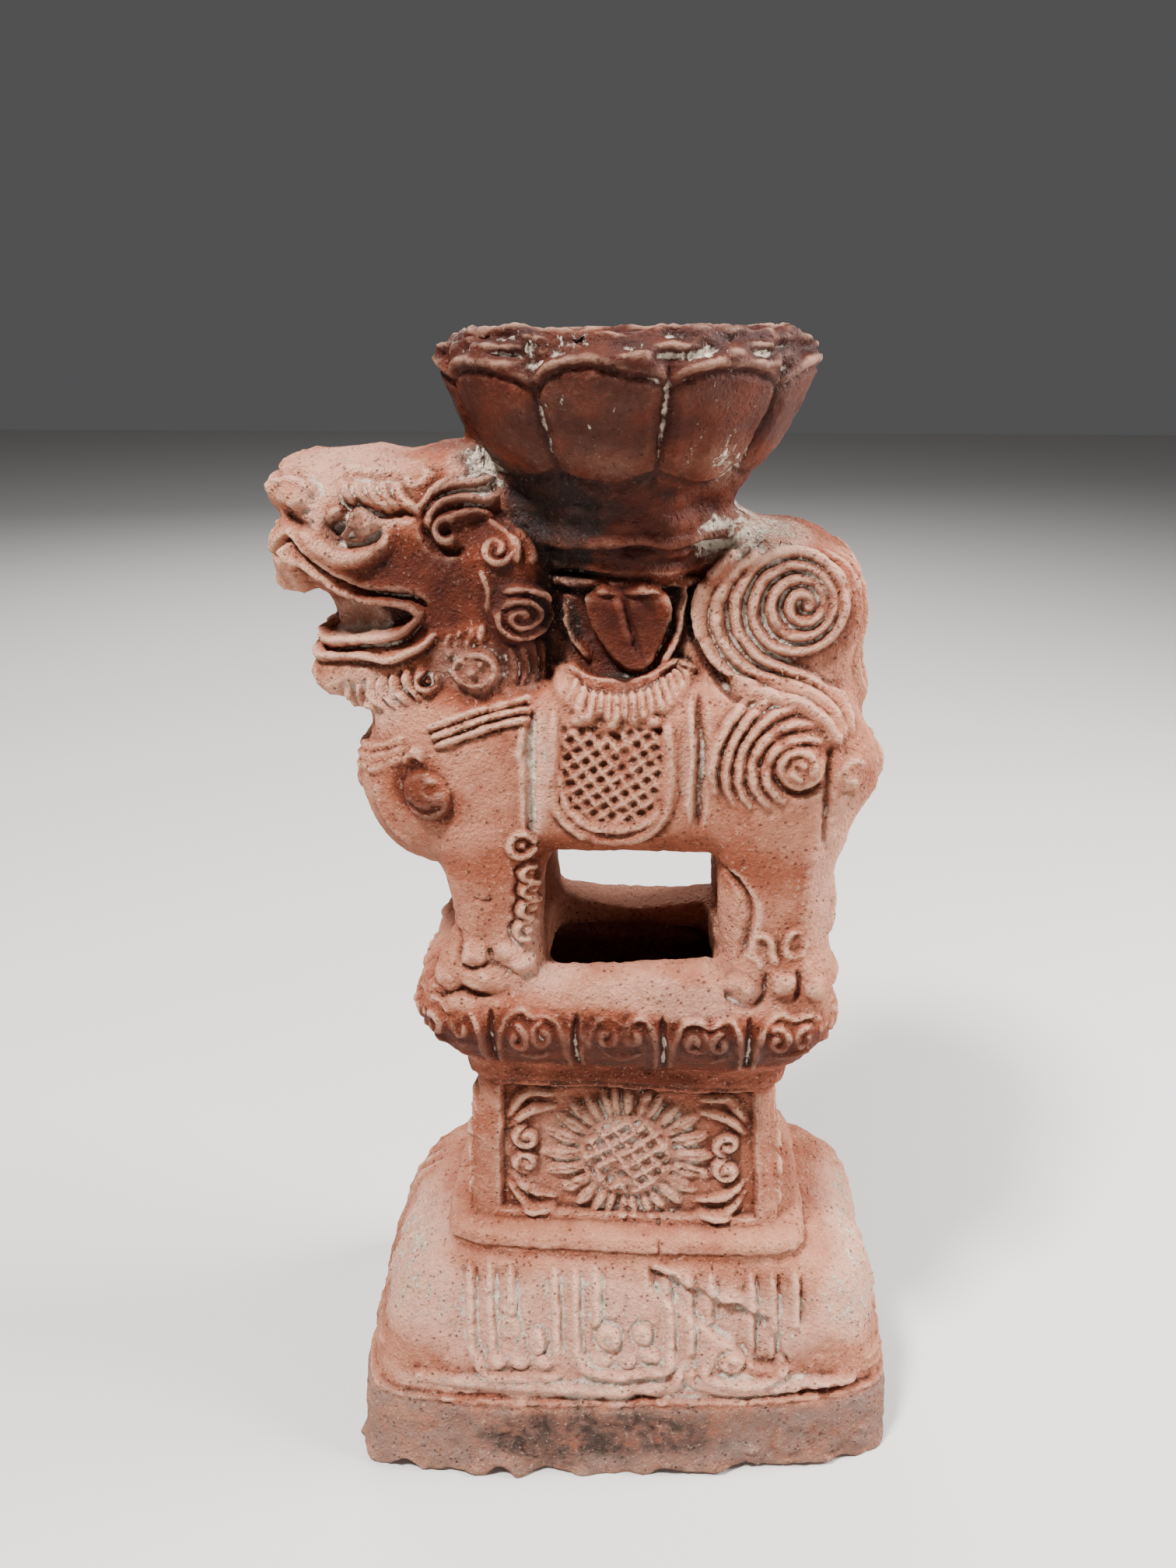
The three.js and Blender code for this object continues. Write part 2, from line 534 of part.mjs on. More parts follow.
function makeFlowers() {
  const [, , halfDepth] = plinthAt(PANEL.height);
  const ground = halfDepth - PANEL.depth;
  const outline = new THREE.Shape();
  for (let i = 0; i < FLOWER.petals * 2; i += 1) {
    const angle = (Math.PI * i) / FLOWER.petals;
    const radius = i % 2 ? FLOWER.notch : FLOWER.reach;
    const [x, z] = [FLOWER.x + radius * Math.cos(angle), FLOWER.z + radius * Math.sin(angle)];
    if (i === 0) outline.moveTo(x, z);
    else outline.lineTo(x, z);
  }
  const pieces = [];
  for (const side of BOTH) {
    const star = new THREE.ExtrudeGeometry(outline, { depth: FLOWER.thick, bevelEnabled: false });
    star.rotateX(Math.PI / 2);
    const starFace = ground + FLOWER.petalRise;
    star.translate(0, side < 0 ? FLOWER.thick - starFace : starFace, 0);
    const disc = new THREE.CylinderGeometry(FLOWER.disc, FLOWER.disc + 1, FLOWER.thick, 18);
    if (side < 0) disc.rotateX(Math.PI);
    disc.translate(FLOWER.x, side * (ground + FLOWER.rise - FLOWER.thick / 2), FLOWER.z);
    pieces.push(solid(star), solid(disc));
  }
  return pieces;
}

// Upright ribs part the slope of the foot into panels.
const RIB = { from: BAND_TOP + 6, to: SLOPE_TOP - 2, at: [-33, -12, 9, 30], narrowing: 0.94 };
const RIB_KIND = { width: 2.2, rise: 1 };
function makeRibs() {
  const [low, high] = [plinthAt(RIB.from), plinthAt(RIB.to)];
  const onFace = ([middle, halfLength, halfDepth, , swell, turn], x, side) => {
    const lean = Math.sin(THREE.MathUtils.degToRad(turn)) * x;
    const share = x / halfLength;
    return [middle + x, side * (halfDepth + swell * (1 - share * share)) + lean];
  };
  return BOTH.flatMap((side) => RIB.at.map((x) => ridge([
    [...onFace(low, x, side), RIB.from], [...onFace(high, x * RIB.narrowing, side), RIB.to],
  ], RIB_KIND, 1)));
}

function makeRelief() {
  return [
    ...makeTail(), ...makeHip(), ...makeCollar(), ...makeFace(), ...makeCurls(), ...makeSaddle(),
    ...makeLeaf(), ...makeFlowers(), ...makeRibs(),
  ];
}

// The cup is turned, then its petals are pressed outward between the grooves.
function makeCup() {
  const outline = [[CUP_OUTSIDE[0][0], 0], ...CUP_OUTSIDE, ...CUP_INSIDE, [CUP_FLOOR + 0.5, 0]];
  const profile = outline.map(([z, radius]) => new THREE.Vector2(radius, z));
  const lathe = new THREE.LatheGeometry(profile, PETALS.count * 4);
  lathe.rotateX(Math.PI / 2);
  const spots = lathe.attributes.position;
  for (let i = 0; i < spots.count; i += 1) {
    const [x, y, z] = [spots.getX(i), spots.getY(i), spots.getZ(i)];
    const radius = Math.hypot(x, y);
    const outside = i % profile.length <= CUP_OUTSIDE.length;
    if (z > RIM_DROOP.above) {
      const height = (z - RIM_DROOP.above) / (RIM_TOP - RIM_DROOP.above);
      spots.setZ(i, z - RIM_DROOP.share * Math.max(0, Math.abs(x) - RIM_DROOP.beyond) * height);
    }
    if (outside && z > PETALS.from && z < PETALS.to) {
      const angle = Math.atan2(y, x) - PETALS.phase;
      const swell = Math.abs(Math.cos((PETALS.count * angle) / 2)) - PETALS.ground;
      const grown = radius + PETALS.rise * swell;
      spots.setXY(i, (x * grown) / radius, (y * grown) / radius);
    }
  }
  const rim = Array.from({ length: FLOOR_CORNERS }, (_, i) => {
    const angle = (2 * Math.PI * i) / FLOOR_CORNERS;
    return new THREE.Vector2(FLOOR_RADIUS * Math.cos(angle), FLOOR_RADIUS * Math.sin(angle));
  });
  const floor = new THREE.ExtrudeGeometry(new THREE.Shape(rim), { depth: 2, bevelEnabled: false });
  floor.translate(0, 0, CUP_FLOOR);
  return solid(lathe).subtract(solid(floor)).translate([CUP_X, 0, 0]);
}

let work = loft(PLINTH_SECTIONS, 28);
for (const cut of [...makePanels(), ...makeGrooves(), makeDip()]) work = work.subtract(cut);
work = work.add(solid(surfaceNet(lionField, LION_BOX, NET_CELL)));
work = work.add(makeCup());
for (const piece of makeRelief()) work = work.add(piece);
work = work.subtract(makeHollow());

const burner = new THREE.Mesh(geometryOf(work), CLAY);
burner.name = 'lion_incense_burner';

const model = new THREE.Group();
model.add(burner);
model.position.x = CENTRE_SHIFT;

export default model;
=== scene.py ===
import math
from itertools import product

import bpy
import numpy as np
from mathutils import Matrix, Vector


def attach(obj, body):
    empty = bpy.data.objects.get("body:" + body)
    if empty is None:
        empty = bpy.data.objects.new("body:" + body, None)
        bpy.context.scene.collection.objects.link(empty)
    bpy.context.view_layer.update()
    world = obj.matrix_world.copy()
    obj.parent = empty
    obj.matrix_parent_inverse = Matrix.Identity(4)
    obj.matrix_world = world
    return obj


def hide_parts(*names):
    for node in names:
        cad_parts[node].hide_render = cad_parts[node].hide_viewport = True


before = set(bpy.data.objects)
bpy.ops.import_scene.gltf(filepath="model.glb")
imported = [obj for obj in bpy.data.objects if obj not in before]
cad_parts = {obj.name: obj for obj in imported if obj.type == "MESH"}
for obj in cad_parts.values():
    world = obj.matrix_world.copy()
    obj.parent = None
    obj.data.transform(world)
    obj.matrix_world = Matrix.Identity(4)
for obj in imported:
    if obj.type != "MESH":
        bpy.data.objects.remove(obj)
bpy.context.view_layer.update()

# The lion's raw body
# The real burner is earthenware, pressed in moulds in parts that were luted together while damp.
# The lion is a run of rounded masses; each is two points in its side plane, in millimetres, with
# a radius at each, its half width across, how boxy it is and how far it stands from the middle.
MASSES = {
    "barrel": dict(line=((-26, 168.8), (28, 169.4)), radii=(19.8, 19.6), half=25, boxy=4),
    "chest": dict(line=((-36.5, 163.5), (-34, 172)), radii=(21, 18), half=23, boxy=2.6),
    "neck": dict(line=((-39, 180), (-35, 200)), radii=(15.5, 17), half=19, boxy=2.6),
    "mane": dict(line=((-25, 208), (-27, 189)), radii=(11, 10), half=21, boxy=3),
    "nape": dict(line=((-33, 222.3), (-22, 217)), radii=(9.6, 8), half=15, boxy=3),
    "skull": dict(line=((-40, 213), (-56, 214)), radii=(17.5, 14), half=19, boxy=2.6),
    "brow": dict(line=((-65, 223.6), (-52, 221.6)), radii=(5.8, 8.6), half=15, boxy=2.6),
    "muzzle": dict(line=((-64.4, 209.6), (-52, 207)), radii=(7.8, 9.5), half=14.5, boxy=2.6),
    "mouth": dict(line=((-56.5, 199), (-47, 199.5)), radii=(6, 7), half=12.5, boxy=3),
    "jaw": dict(line=((-56.2, 188.2), (-44, 191)), radii=(9.2, 11), half=14.5, boxy=2.6),
    "cheek": dict(line=((-41, 204), (-41, 196)), radii=(12, 12), half=19, boxy=2.6),
    "stem": dict(line=((-2, 184), (-1.5, 207)), radii=(15, 15), half=17, boxy=2.4),
    "saddle_web": dict(line=((-14, 191), (14, 191)), radii=(9, 9), half=14, boxy=3),
    "tail_web": dict(line=((12, 195), (21, 210.6)), radii=(8, 7.6), half=13, boxy=3),
    "tail": dict(line=((30.4, 199.4), (37.6, 184)), radii=(16.6, 10.8), half=16, boxy=3),
    "shoulder": dict(line=((-29, 164), (-27.5, 150)), radii=(14, 11), half=10, boxy=2.6, apart=15),
    "foreleg": dict(line=((-27, 152), (-26.6, 130)), radii=(10, 9.4), half=9, boxy=2.6, apart=16.5),
    "forepaw": dict(line=((-32, 124.5), (-24.6, 124)), radii=(7.8, 8), half=9, boxy=2.6, apart=18),
    "haunch": dict(line=((34, 168.5), (33, 160)), radii=(17.2, 14), half=12, boxy=2.6, apart=14),
    "hindleg": dict(line=((31.6, 156), (32, 130)), radii=(12.4, 11.6), half=9.5, boxy=2.6, apart=16),
    "near_rim": dict(line=((-14, 118), (17, 121)), radii=(7, 7.6), half=5.5, boxy=2.4, at=-23.5),
    "hindpaw": dict(line=((30, 124.5), (36.6, 124)), radii=(8, 8.2), half=9.5, boxy=2.6, apart=17.5),
}
TAIL_DISC = dict(x=30.4, z=199.8, radius=15.4, half=16.6, edge=2.4)
LUTING = 3.2
SHIFT = 3.03


def join(a, b, blend=LUTING):
    """Two masses run together as wet clay does."""
    near = np.clip(blend - np.abs(a - b), 0, None) / blend
    return np.minimum(a, b) - near * near * blend / 4


def mass(x, y, z, line, radii, half, boxy, apart=0.0, at=None):
    """Distance from one mass, or from a pair that stands apart."""
    (ax, az), (bx, bz) = line
    run_x, run_z = bx - ax, bz - az
    across = np.abs(np.abs(y) - apart) / half if at is None else np.abs(y - at) / half
    t = np.clip(((x - ax) * run_x + (z - az) * run_z) / (run_x ** 2 + run_z ** 2), 0, 1)
    radius = radii[0] + t * (radii[1] - radii[0])
    reach = np.hypot(x - ax - t * run_x, z - az - t * run_z) / radius
    return radius * ((reach ** boxy + across ** boxy) ** (1 / boxy) - 1)


def tail_disc(x, y, z):
    """Distance from the tail's flat round top."""
    out = np.hypot(x - TAIL_DISC["x"], z - TAIL_DISC["z"]) - TAIL_DISC["radius"]
    side = np.abs(y) - TAIL_DISC["half"]
    edge = TAIL_DISC["edge"]
    corner = np.hypot(np.clip(out + edge, 0, None), np.clip(side + edge, 0, None))
    return corner + np.minimum(np.maximum(out, side) + edge, 0) - edge


def mass_box(parts):
    """The corners of a box that holds a mass and the luting round it."""
    xs, zs = zip(*parts["line"])
    spare = LUTING + 1
    wide = max(parts["radii"]) + spare
    deep = parts["half"] + parts.get("apart", 0) + spare
    middle = parts.get("at", 0)
    return ((min(xs) - wide, middle - deep, min(zs) - wide),
            (max(xs) + wide, middle + deep, max(zs) + wide))


# The plinth
# Pressed in two halves over a former and joined: a foot with sloping sides, a roll, an upright
# dado and a lobed course. At each level: height, middle, half length, half depth, squareness,
# swell of the long sides and turn in degrees, for it leans a little as hand-pressed work does.
PLINTH = np.array([
    (0, .4, 63.8, 37.6, 12, 3.8, 4.6), (19, .8, 62.8, 35.8, 9, 3.4, 3.6),
    (21.5, 1, 61, 34.6, 8, 3.2, 3.4), (36, 2.2, 58.4, 32.2, 7, 2.4, 2.6),
    (46, 3.4, 54.8, 30, 6, 1.4, 1.6), (51, 3.2, 49, 28.6, 5.5, .8, 1),
    (52.5, 1.4, 41.4, 27.4, 8, 0, 0), (55, 1.4, 42.4, 28.2, 8, 0, 0),
    (57.5, 1.2, 41, 27, 9, 0, 0), (58.5, 1, 36.2, 22.6, 12, 0, 0), (95, 1, 33.8, 21.2, 12, 0, 0),
    (97, 1, 36, 23.2, 9, 0, 0), (101, 1, 36.6, 23.4, 8, 0, 0), (104, .8, 41, 26, 6, 0, 0),
    (109, .6, 44.6, 29.5, 5, 0, 0), (114, .4, 45.6, 30.8, 5, 0, 0),
    (120, .4, 44.2, 28.6, 5, 0, 0), (124, .4, 40, 23, 5, 0, 0),
])
HOLLOW = np.array([
    (-2, .4, 55.8, 30, 8, 3.4, 4.6), (19, .8, 54.4, 28, 7, 3, 3.6), (42, 2.8, 46, 22.8, 6, 1.4, 1.6),
    (58, 1, 28.4, 15, 7, 0, 0), (100, 1, 27, 14, 7, 0, 0), (108, .4, 34.5, 20, 5, 0, 0),
    (116, .4, 34.5, 20, 5, 0, 0),
])
TOP_HOLE = np.array([(112, 1.5, 18.5, 17.25, 6, 0, 0), (130, 1.5, 18.5, 17.25, 6, 0, 0)])
TOP_HOLE_Y = -1.75
DIP = dict(x=2, z=162.6, radius=42, y=12)


def section_at(sections, z, column):
    return np.interp(z, sections[:, 0], sections[:, column])


def loft(sections, x, y, z):
    """Distance from a body with a rounded rectangle at each level."""
    middle, length, depth, square, swell, turn = (section_at(sections, z, c) for c in range(1, 7))
    turn = np.radians(turn)
    along = (x - middle) * np.cos(turn) + y * np.sin(turn)
    across = y * np.cos(turn) - (x - middle) * np.sin(turn)
    u = np.abs(along) / length
    v = np.abs(across) / (depth + swell * np.clip(1 - u * u, 0, 1))
    wall = ((u ** square + v ** square) ** (1 / square) - 1) * depth
    return np.maximum(wall, np.maximum(z - sections[-1, 0], sections[0, 0] - z))


def dip(x, y, z):
    """The sag in the course's far edge, a scoop out of it."""
    scoop = np.hypot(x - DIP["x"], z - DIP["z"]) - DIP["radius"]
    return np.maximum(scoop, DIP["y"] - y)


# The lotus cup
# Pressed over a form, with nine petals raised on its outside: a radius at each height, taken
# across a leaning wall. Below the petals a rough collar was pinched round the joint with the
# stem, and the rim sags a little at both ends.
CUP_X = -1.2
CUP_FOOT, CUP_FLOOR, CUP_RIM = 198, 227, 253
CUP_LEAN = .86
CUP_OUTSIDE = np.array([
    (CUP_FOOT, 14), (205, 15), (207, 17.2), (209.4, 16.4), (211, 19.3), (217, 22), (221, 22.2),
    (224, 23.6), (231, 29.2), (239, 33.3), (247, 36.4), (250, 36.2), (CUP_RIM, 34.6)])
CUP_INSIDE = np.array([
    (CUP_FLOOR, 17), (228.5, 19.6), (232, 23.3), (242, 29.8), (CUP_RIM, 32.6), (260, 34)])
RIM_SAG = dict(start=29, slope=.4)
PETALS = dict(count=9, rise=2.2, ground=.72, phase=math.radians(-16), foot=221, run_out=11)


def cup_body(x, y, z):
    """Distance from the cup before it is hollowed."""
    out = np.hypot(x - CUP_X, y)
    angle = np.arctan2(y, x - CUP_X) - PETALS["phase"]
    swell = np.abs(np.cos(PETALS["count"] * angle / 2)) ** .42 - PETALS["ground"]
    raised = PETALS["rise"] * swell * np.clip((z - PETALS["foot"]) / PETALS["run_out"], 0, 1)
    wall = (out - np.interp(z, CUP_OUTSIDE[:, 0], CUP_OUTSIDE[:, 1]) - raised) * CUP_LEAN
    sag = RIM_SAG["slope"] * np.clip(np.abs(x) - RIM_SAG["start"], 0, None)
    return np.maximum(wall, np.maximum(CUP_FOOT - z, z - CUP_RIM + sag))


def cup_hollow(x, y, z):
    """Distance from the room inside the cup."""
    out = np.hypot(x - CUP_X, y)
    wall = (out - np.interp(z, CUP_INSIDE[:, 0], CUP_INSIDE[:, 1])) * CUP_LEAN
    return np.maximum(wall, CUP_FLOOR - z)


# The skin
# The whole work was luted and fired as one body: its masses are joined on a fine grid of
# distances, each within a box round it, cut by the hollows, and skinned with one closed mesh.
CELL = .54
LOW = np.array((-74.0, -46.0, -3.0))
HIGH = np.array((71.0, 46.0, 256.0))
grid = [np.arange(LOW[k], HIGH[k], CELL, dtype=np.float32) for k in range(3)]
field = np.full([len(g) for g in grid], 9, np.float32)


def work_on(low, high, change):
    """Change the distances inside a box of the grid."""
    spans = [slice(*np.searchsorted(grid[k], (low[k], high[k]))) for k in range(3)]
    x, y, z = grid[0][spans[0], None, None], grid[1][None, spans[1], None], grid[2][None, None, spans[2]]
    part = field[tuple(spans)]
    part[...] = change(part, x, y, z)


for parts in MASSES.values():
    low, high = mass_box(parts)
    work_on(low, high, lambda now, x, y, z: join(now, mass(x, y, z, **parts)))
work_on((8, -22, 178), (52, 22, 222), lambda now, x, y, z: join(now, tail_disc(x, y, z)))
work_on((-46, -46, 194), (44, 46, 256), lambda now, x, y, z: join(now, cup_body(x, y, z)))
work_on((-73, -46, -3), (71, 46, 128), lambda now, x, y, z: join(
    now, np.maximum(loft(PLINTH, x, y, z), -dip(x, y, z)), 2.4))
work_on((-60, -40, -3), (62, 40, 118), lambda now, x, y, z: np.maximum(now, -loft(HOLLOW, x, y, z)))
work_on((-24, -26, 110), (26, 22, 131), lambda now, x, y, z: np.maximum(
    now, -loft(TOP_HOLE, x, y - TOP_HOLE_Y, z)))
work_on((-46, -46, 225), (44, 46, 256), lambda now, x, y, z: np.maximum(now, -cup_hollow(x, y, z)))


def skin(field, low, cell):
    """One point in each cell that the surface crosses, and a four-sided face for each grid edge
    that it crosses."""
    inside = field < 0
    shape = [n - 1 for n in field.shape]
    corners = list(product((0, 1), repeat=3))
    window = {c: tuple(slice(c[k], c[k] + shape[k]) for k in range(3)) for c in corners}
    count = sum(inside[window[c]].astype(np.int8) for c in corners)
    cells = np.argwhere((count > 0) & (count < 8))
    number = np.full(shape, -1, np.int32)
    number[tuple(cells.T)] = np.arange(len(cells))
    values = {c: field[tuple((cells + c).T)] for c in corners}
    total = np.zeros((len(cells), 3), np.float32)
    crossings = np.zeros(len(cells), np.float32)
    for c, k in product(corners, range(3)):
        if c[k]:
            continue
        d = tuple(1 if n == k else v for n, v in enumerate(c))
        a, b = values[c], values[d]
        hit = (a < 0) != (b < 0)
        t = np.where(hit, a / np.where(hit, a - b, 1), 0)
        for n in range(3):
            total[:, n] += np.where(hit, c[n] + (t if n == k else 0), 0)
        crossings += hit
    points = low + (cells + total / crossings[:, None]) * cell
    faces = []
    for k in range(3):
        i, j = (k + 1) % 3, (k + 2) % 3
        here = [slice(1, n) for n in shape]
        there = list(here)
        there[k] = slice(2, shape[k] + 1)
        first, second = inside[tuple(here)], inside[tuple(there)]
        spots = np.argwhere(first != second) + 1
        out = first[tuple((spots - 1).T)]
        ring = []
        for di, dj in ((0, 0), (-1, 0), (-1, -1), (0, -1)):
            step = np.zeros(3, int)
            step[i], step[j] = di, dj
            ring.append(number[tuple((spots + step).T)])
        ring = np.stack(ring, 1)
        ring[~out] = ring[~out][:, ::-1]
        faces.append(ring)
    return points.astype(np.float64), np.concatenate(faces)


points, faces = skin(field, LOW, CELL)
links = np.concatenate([faces[:, (k, (k + 1) % 4)] for k in range(4)])
valence = np.bincount(links[:, 0], minlength=len(points))


def relax(values, rounds):
    """Each point takes the mean of its neighbours."""
    for _ in range(rounds):
        near = values[links[:, 1]]
        values = np.stack([np.bincount(links[:, 0], near[:, k], len(values)) for k in
                           range(values.shape[1])], 1) / valence[:, None]
    return values


def outward(points):
    """The direction away from the clay at each point."""
    a, b, c, d = (points[faces[:, k]] for k in range(4))
    across = np.cross(c - a, d - b)
    total = np.zeros_like(points)
    for k, n in product(range(4), range(3)):
        total[:, n] += np.bincount(faces[:, k], across[:, n], len(points))
    return total / np.linalg.norm(total, axis=1, keepdims=True).clip(1e-9)


points = relax(points, 1)
normals = relax(outward(points), 3)
normals /= np.linalg.norm(normals, axis=1, keepdims=True)

# The tail
# A flat plume turned up against the haunch. Its strands were drawn with a pointed tool in the
# mould: they sweep up from the rump, round the front edge and in to the middle as a spiral.
x, y, z = points.T
formed = np.zeros(len(points))
raised = np.zeros(len(points))
sunk = np.zeros(len(points))
LUMPS = 64


def soft_step(value, low, high):
    """0 at low, 1 at high, with soft ends."""
    t = np.clip((value - low) / (high - low), 0, 1)
    return t * t * (3 - 2 * t)


def band(value, half):
    """1 in the middle of a band, 0 at its edges and beyond."""
    return np.clip(1 - (value / half) ** 2, 0, 1)


def unevenness(places, size, seed):
    """Soft random lumps of a given size in millimetres, from -1 to 1."""
    table = np.random.default_rng(seed).uniform(-1, 1, (LUMPS,) * 3).astype(np.float32)
    spot = places / size
    low = np.floor(spot).astype(int)
    part = spot - low
    part = part * part * (3 - 2 * part)
    total = np.zeros(len(places))
    for c in product((0, 1), repeat=3):
        share = np.prod(np.where(c, part, 1 - part), axis=1)
        total += share * table[tuple(((low + c) % LUMPS).T)]
    return total


def curve(*knots, steps=5):
    """A smooth line through a few points."""
    p = np.array(knots, float)
    p = np.vstack([2 * p[0] - p[1], p, 2 * p[-1] - p[-2]])
    t = np.linspace(0, 1, steps, endpoint=False)[:, None]
    runs = [b + .5 * t * (c - a + t * (2 * a - 5 * b + 4 * c - d + t * (3 * (b - c) + d - a)))
            for a, b, c, d in zip(p, p[1:], p[2:], p[3:])]
    return np.vstack(runs + [p[-2:-1]])


def arc(middle, radius, start, end, flat=1.0):
    """A round line, or an oval one where flat is not 1."""
    turn = np.radians(np.linspace(start, end, max(6, int(abs(end - start) / 12))))
    return np.stack([middle[0] + radius * np.cos(turn), middle[1] + radius * flat * np.sin(turn)], 1)


def spiral(eye, radius, pitch, start, way=-1, drift=(0, 0), inner=.4):
    """A line that winds in to its eye; drift leans the outer turns to one side."""
    turns = (radius - inner) / pitch
    t = np.linspace(0, turns, int(turns * 26) + 4)
    out = radius - pitch * t
    turn = np.radians(start + way * 360 * t)
    return np.stack([eye[0] + drift[0] * out + out * np.cos(turn),
                     eye[1] + drift[1] * out + out * np.sin(turn)], 1)


def within(view, low, high, spare=0.0):
    """The points of a view inside a box."""
    u, v, shown = view
    return np.flatnonzero((shown > 0) & (u > low[0] - spare) & (u < high[0] + spare)
                          & (v > low[1] - spare) & (v < high[1] + spare))


def reach(u, v, path):
    """The distance from a path, and the share of its length where it is nearest."""
    best = np.full(len(u), 1e9)
    along = np.zeros(len(u))
    for n, (a, b) in enumerate(zip(path, path[1:])):
        run = b - a
        t = np.clip(((u - a[0]) * run[0] + (v - a[1]) * run[1]) / max(run @ run, 1e-9), 0, 1)
        away = np.hypot(u - a[0] - t * run[0], v - a[1] - t * run[1])
        along = np.where(away < best, (n + t) / (len(path) - 1), along)
        best = np.minimum(away, best)
    return best, along


def stroke(view, path, width, taper, crown):
    """The height, 0 to 1, of a rounded line along a path that thins towards its ends."""
    u, v, shown = view
    pick = within(view, path.min(0), path.max(0), width)
    away, along = reach(u[pick], v[pick], path)
    end = np.clip(np.minimum(along, 1 - along) / max(taper, 1e-6), 0, 1) ** .6
    wide = width * (.35 + .65 * end)
    return pick, band(away, wide) ** crown * (.3 + .7 * end) * shown[pick]


def strand(view, path, width, rise, taper=.1, crown=.85):
    """A raised line of clay."""
    pick, shape = stroke(view, path, width, taper, crown)
    raised[pick] = np.maximum(raised[pick], rise * shape)


def groove(view, path, width, depth, taper=.12, crown=1.0):
    """A line pressed in with a tool."""
    pick, shape = stroke(view, path, width, taper, crown)
    sunk[pick] = np.minimum(sunk[pick], -depth * shape)


def round_patch(view, middle, size, turn=0.0):
    """The squared distance from a middle, 1 at the edge of an ellipse."""
    u, v, shown = view
    wide = max(size)
    pick = within(view, np.array(middle), np.array(middle), wide)
    a, b = u[pick] - middle[0], v[pick] - middle[1]
    c, s = math.cos(math.radians(turn)), math.sin(math.radians(turn))
    return pick, ((a * c + b * s) / size[0]) ** 2 + ((b * c - a * s) / size[1]) ** 2, shown[pick]


def boss(view, middle, size, rise, turn=0.0, crown=.8):
    """A round lump, its size the half widths of an ellipse."""
    pick, out, shown = round_patch(view, middle, size, turn)
    raised[pick] = np.maximum(raised[pick], rise * np.clip(1 - out, 0, 1) ** crown * shown)


def pit(view, middle, size, depth, turn=0.0, crown=1.0):
    """A round hole, sized as a boss is."""
    pick, out, shown = round_patch(view, middle, size, turn)
    sunk[pick] = np.minimum(sunk[pick], -depth * np.clip(1 - out, 0, 1) ** crown * shown)


def swell(view, middle, size, rise, turn=0.0, crown=2.0):
    """A broad soft rise, or a hollow where rise is negative."""
    pick, out, shown = round_patch(view, middle, size, turn)
    formed[pick] += rise * np.clip(1 - out, 0, 1) ** crown * shown


def patch(view, outline, rise, edge=.8):
    """A field with a clear edge, raised or sunk."""
    outline = np.array(outline, float)
    closed = np.vstack([outline, outline[:1]])
    u, v, shown = view
    pick = within(view, outline.min(0), outline.max(0), edge)
    away, _ = reach(u[pick], v[pick], closed)
    crossed = np.zeros(len(pick), bool)
    for (ax, ay), (bx, by) in zip(closed, closed[1:]):
        level = (ay > v[pick]) != (by > v[pick])
        if ay != by:
            crossed ^= level & (u[pick] < (bx - ax) * (v[pick] - ay) / (by - ay) + ax)
    depth = np.where(crossed, away, -away)
    share = soft_step(depth, -edge / 2, edge / 2) * shown[pick]
    formed[pick] += rise * share
    return pick, share


# A view looks at the skin from one side: two flat coordinates, and how far each point shows there.
# Hand-pressed lines are never quite true, so the coordinates wobble.
wobble = [.3 * unevenness(points, 7, 1 + k) + .12 * unevenness(points, 2.6, 4 + k) for k in range(3)]
facing = soft_step(normals[:, 1] * np.sign(y), .12, .5) * np.where(y < 0, 1, .65)


def from_side(shown):
    """A view from either flank."""
    return x + wobble[0], z + wobble[2], shown


def from_end(shown):
    """A view from the head's end or the tail's."""
    return y + wobble[1], z + wobble[2], shown


flank = from_side(facing)

TAIL_EYE = (34.6, 203.6)
TAIL_LOOPS = dict(radius=10.9, pitch=2.75, start=180, drift=(-.27, -.08))
outer_strand = curve((20.9, 212.4), (16.2, 206.3), (14.8, 200.5), (16, 195.1), (20.8, 188.9),
                     (27.5, 185.8), (34, 184.2), (38.8, 181), (41.4, 177.2))
middle_strand = curve((25.3, 212.8), (19.6, 207.8), (17.5, 200.7), (19.8, 194.1), (25.6, 189.2),
                      (33.3, 186.8), (38.7, 183.7), (42.8, 178.6))
rising = curve((44.3, 179.2), (41, 184.9), (34.2, 189), (26.6, 192.3), (21.8, 197.4))
winding = np.vstack([rising, spiral(TAIL_EYE, **TAIL_LOOPS)])
for path in (outer_strand, middle_strand, winding):
    strand(flank, path, 1.34, 2.2, taper=.03, crown=1.1)
boss(flank, TAIL_EYE, (1.1, 1.1), 1.8)
strand(flank, curve((24.5, 214.4), (30, 215.2), (36, 214.4), (41.5, 211), (44.8, 205.5)), 1.1, 1)
groove(flank, curve((23, 214.2), (29, 214.6), (35, 213.9), (40.4, 210.4)), .8, .9)
front_edge = curve((15.5, 209), (13.1, 203.5), (12.9, 197.5), (15.6, 191), (20.5, 186.6), (27, 183.2))
groove(flank, front_edge, 1.3, 1.6)

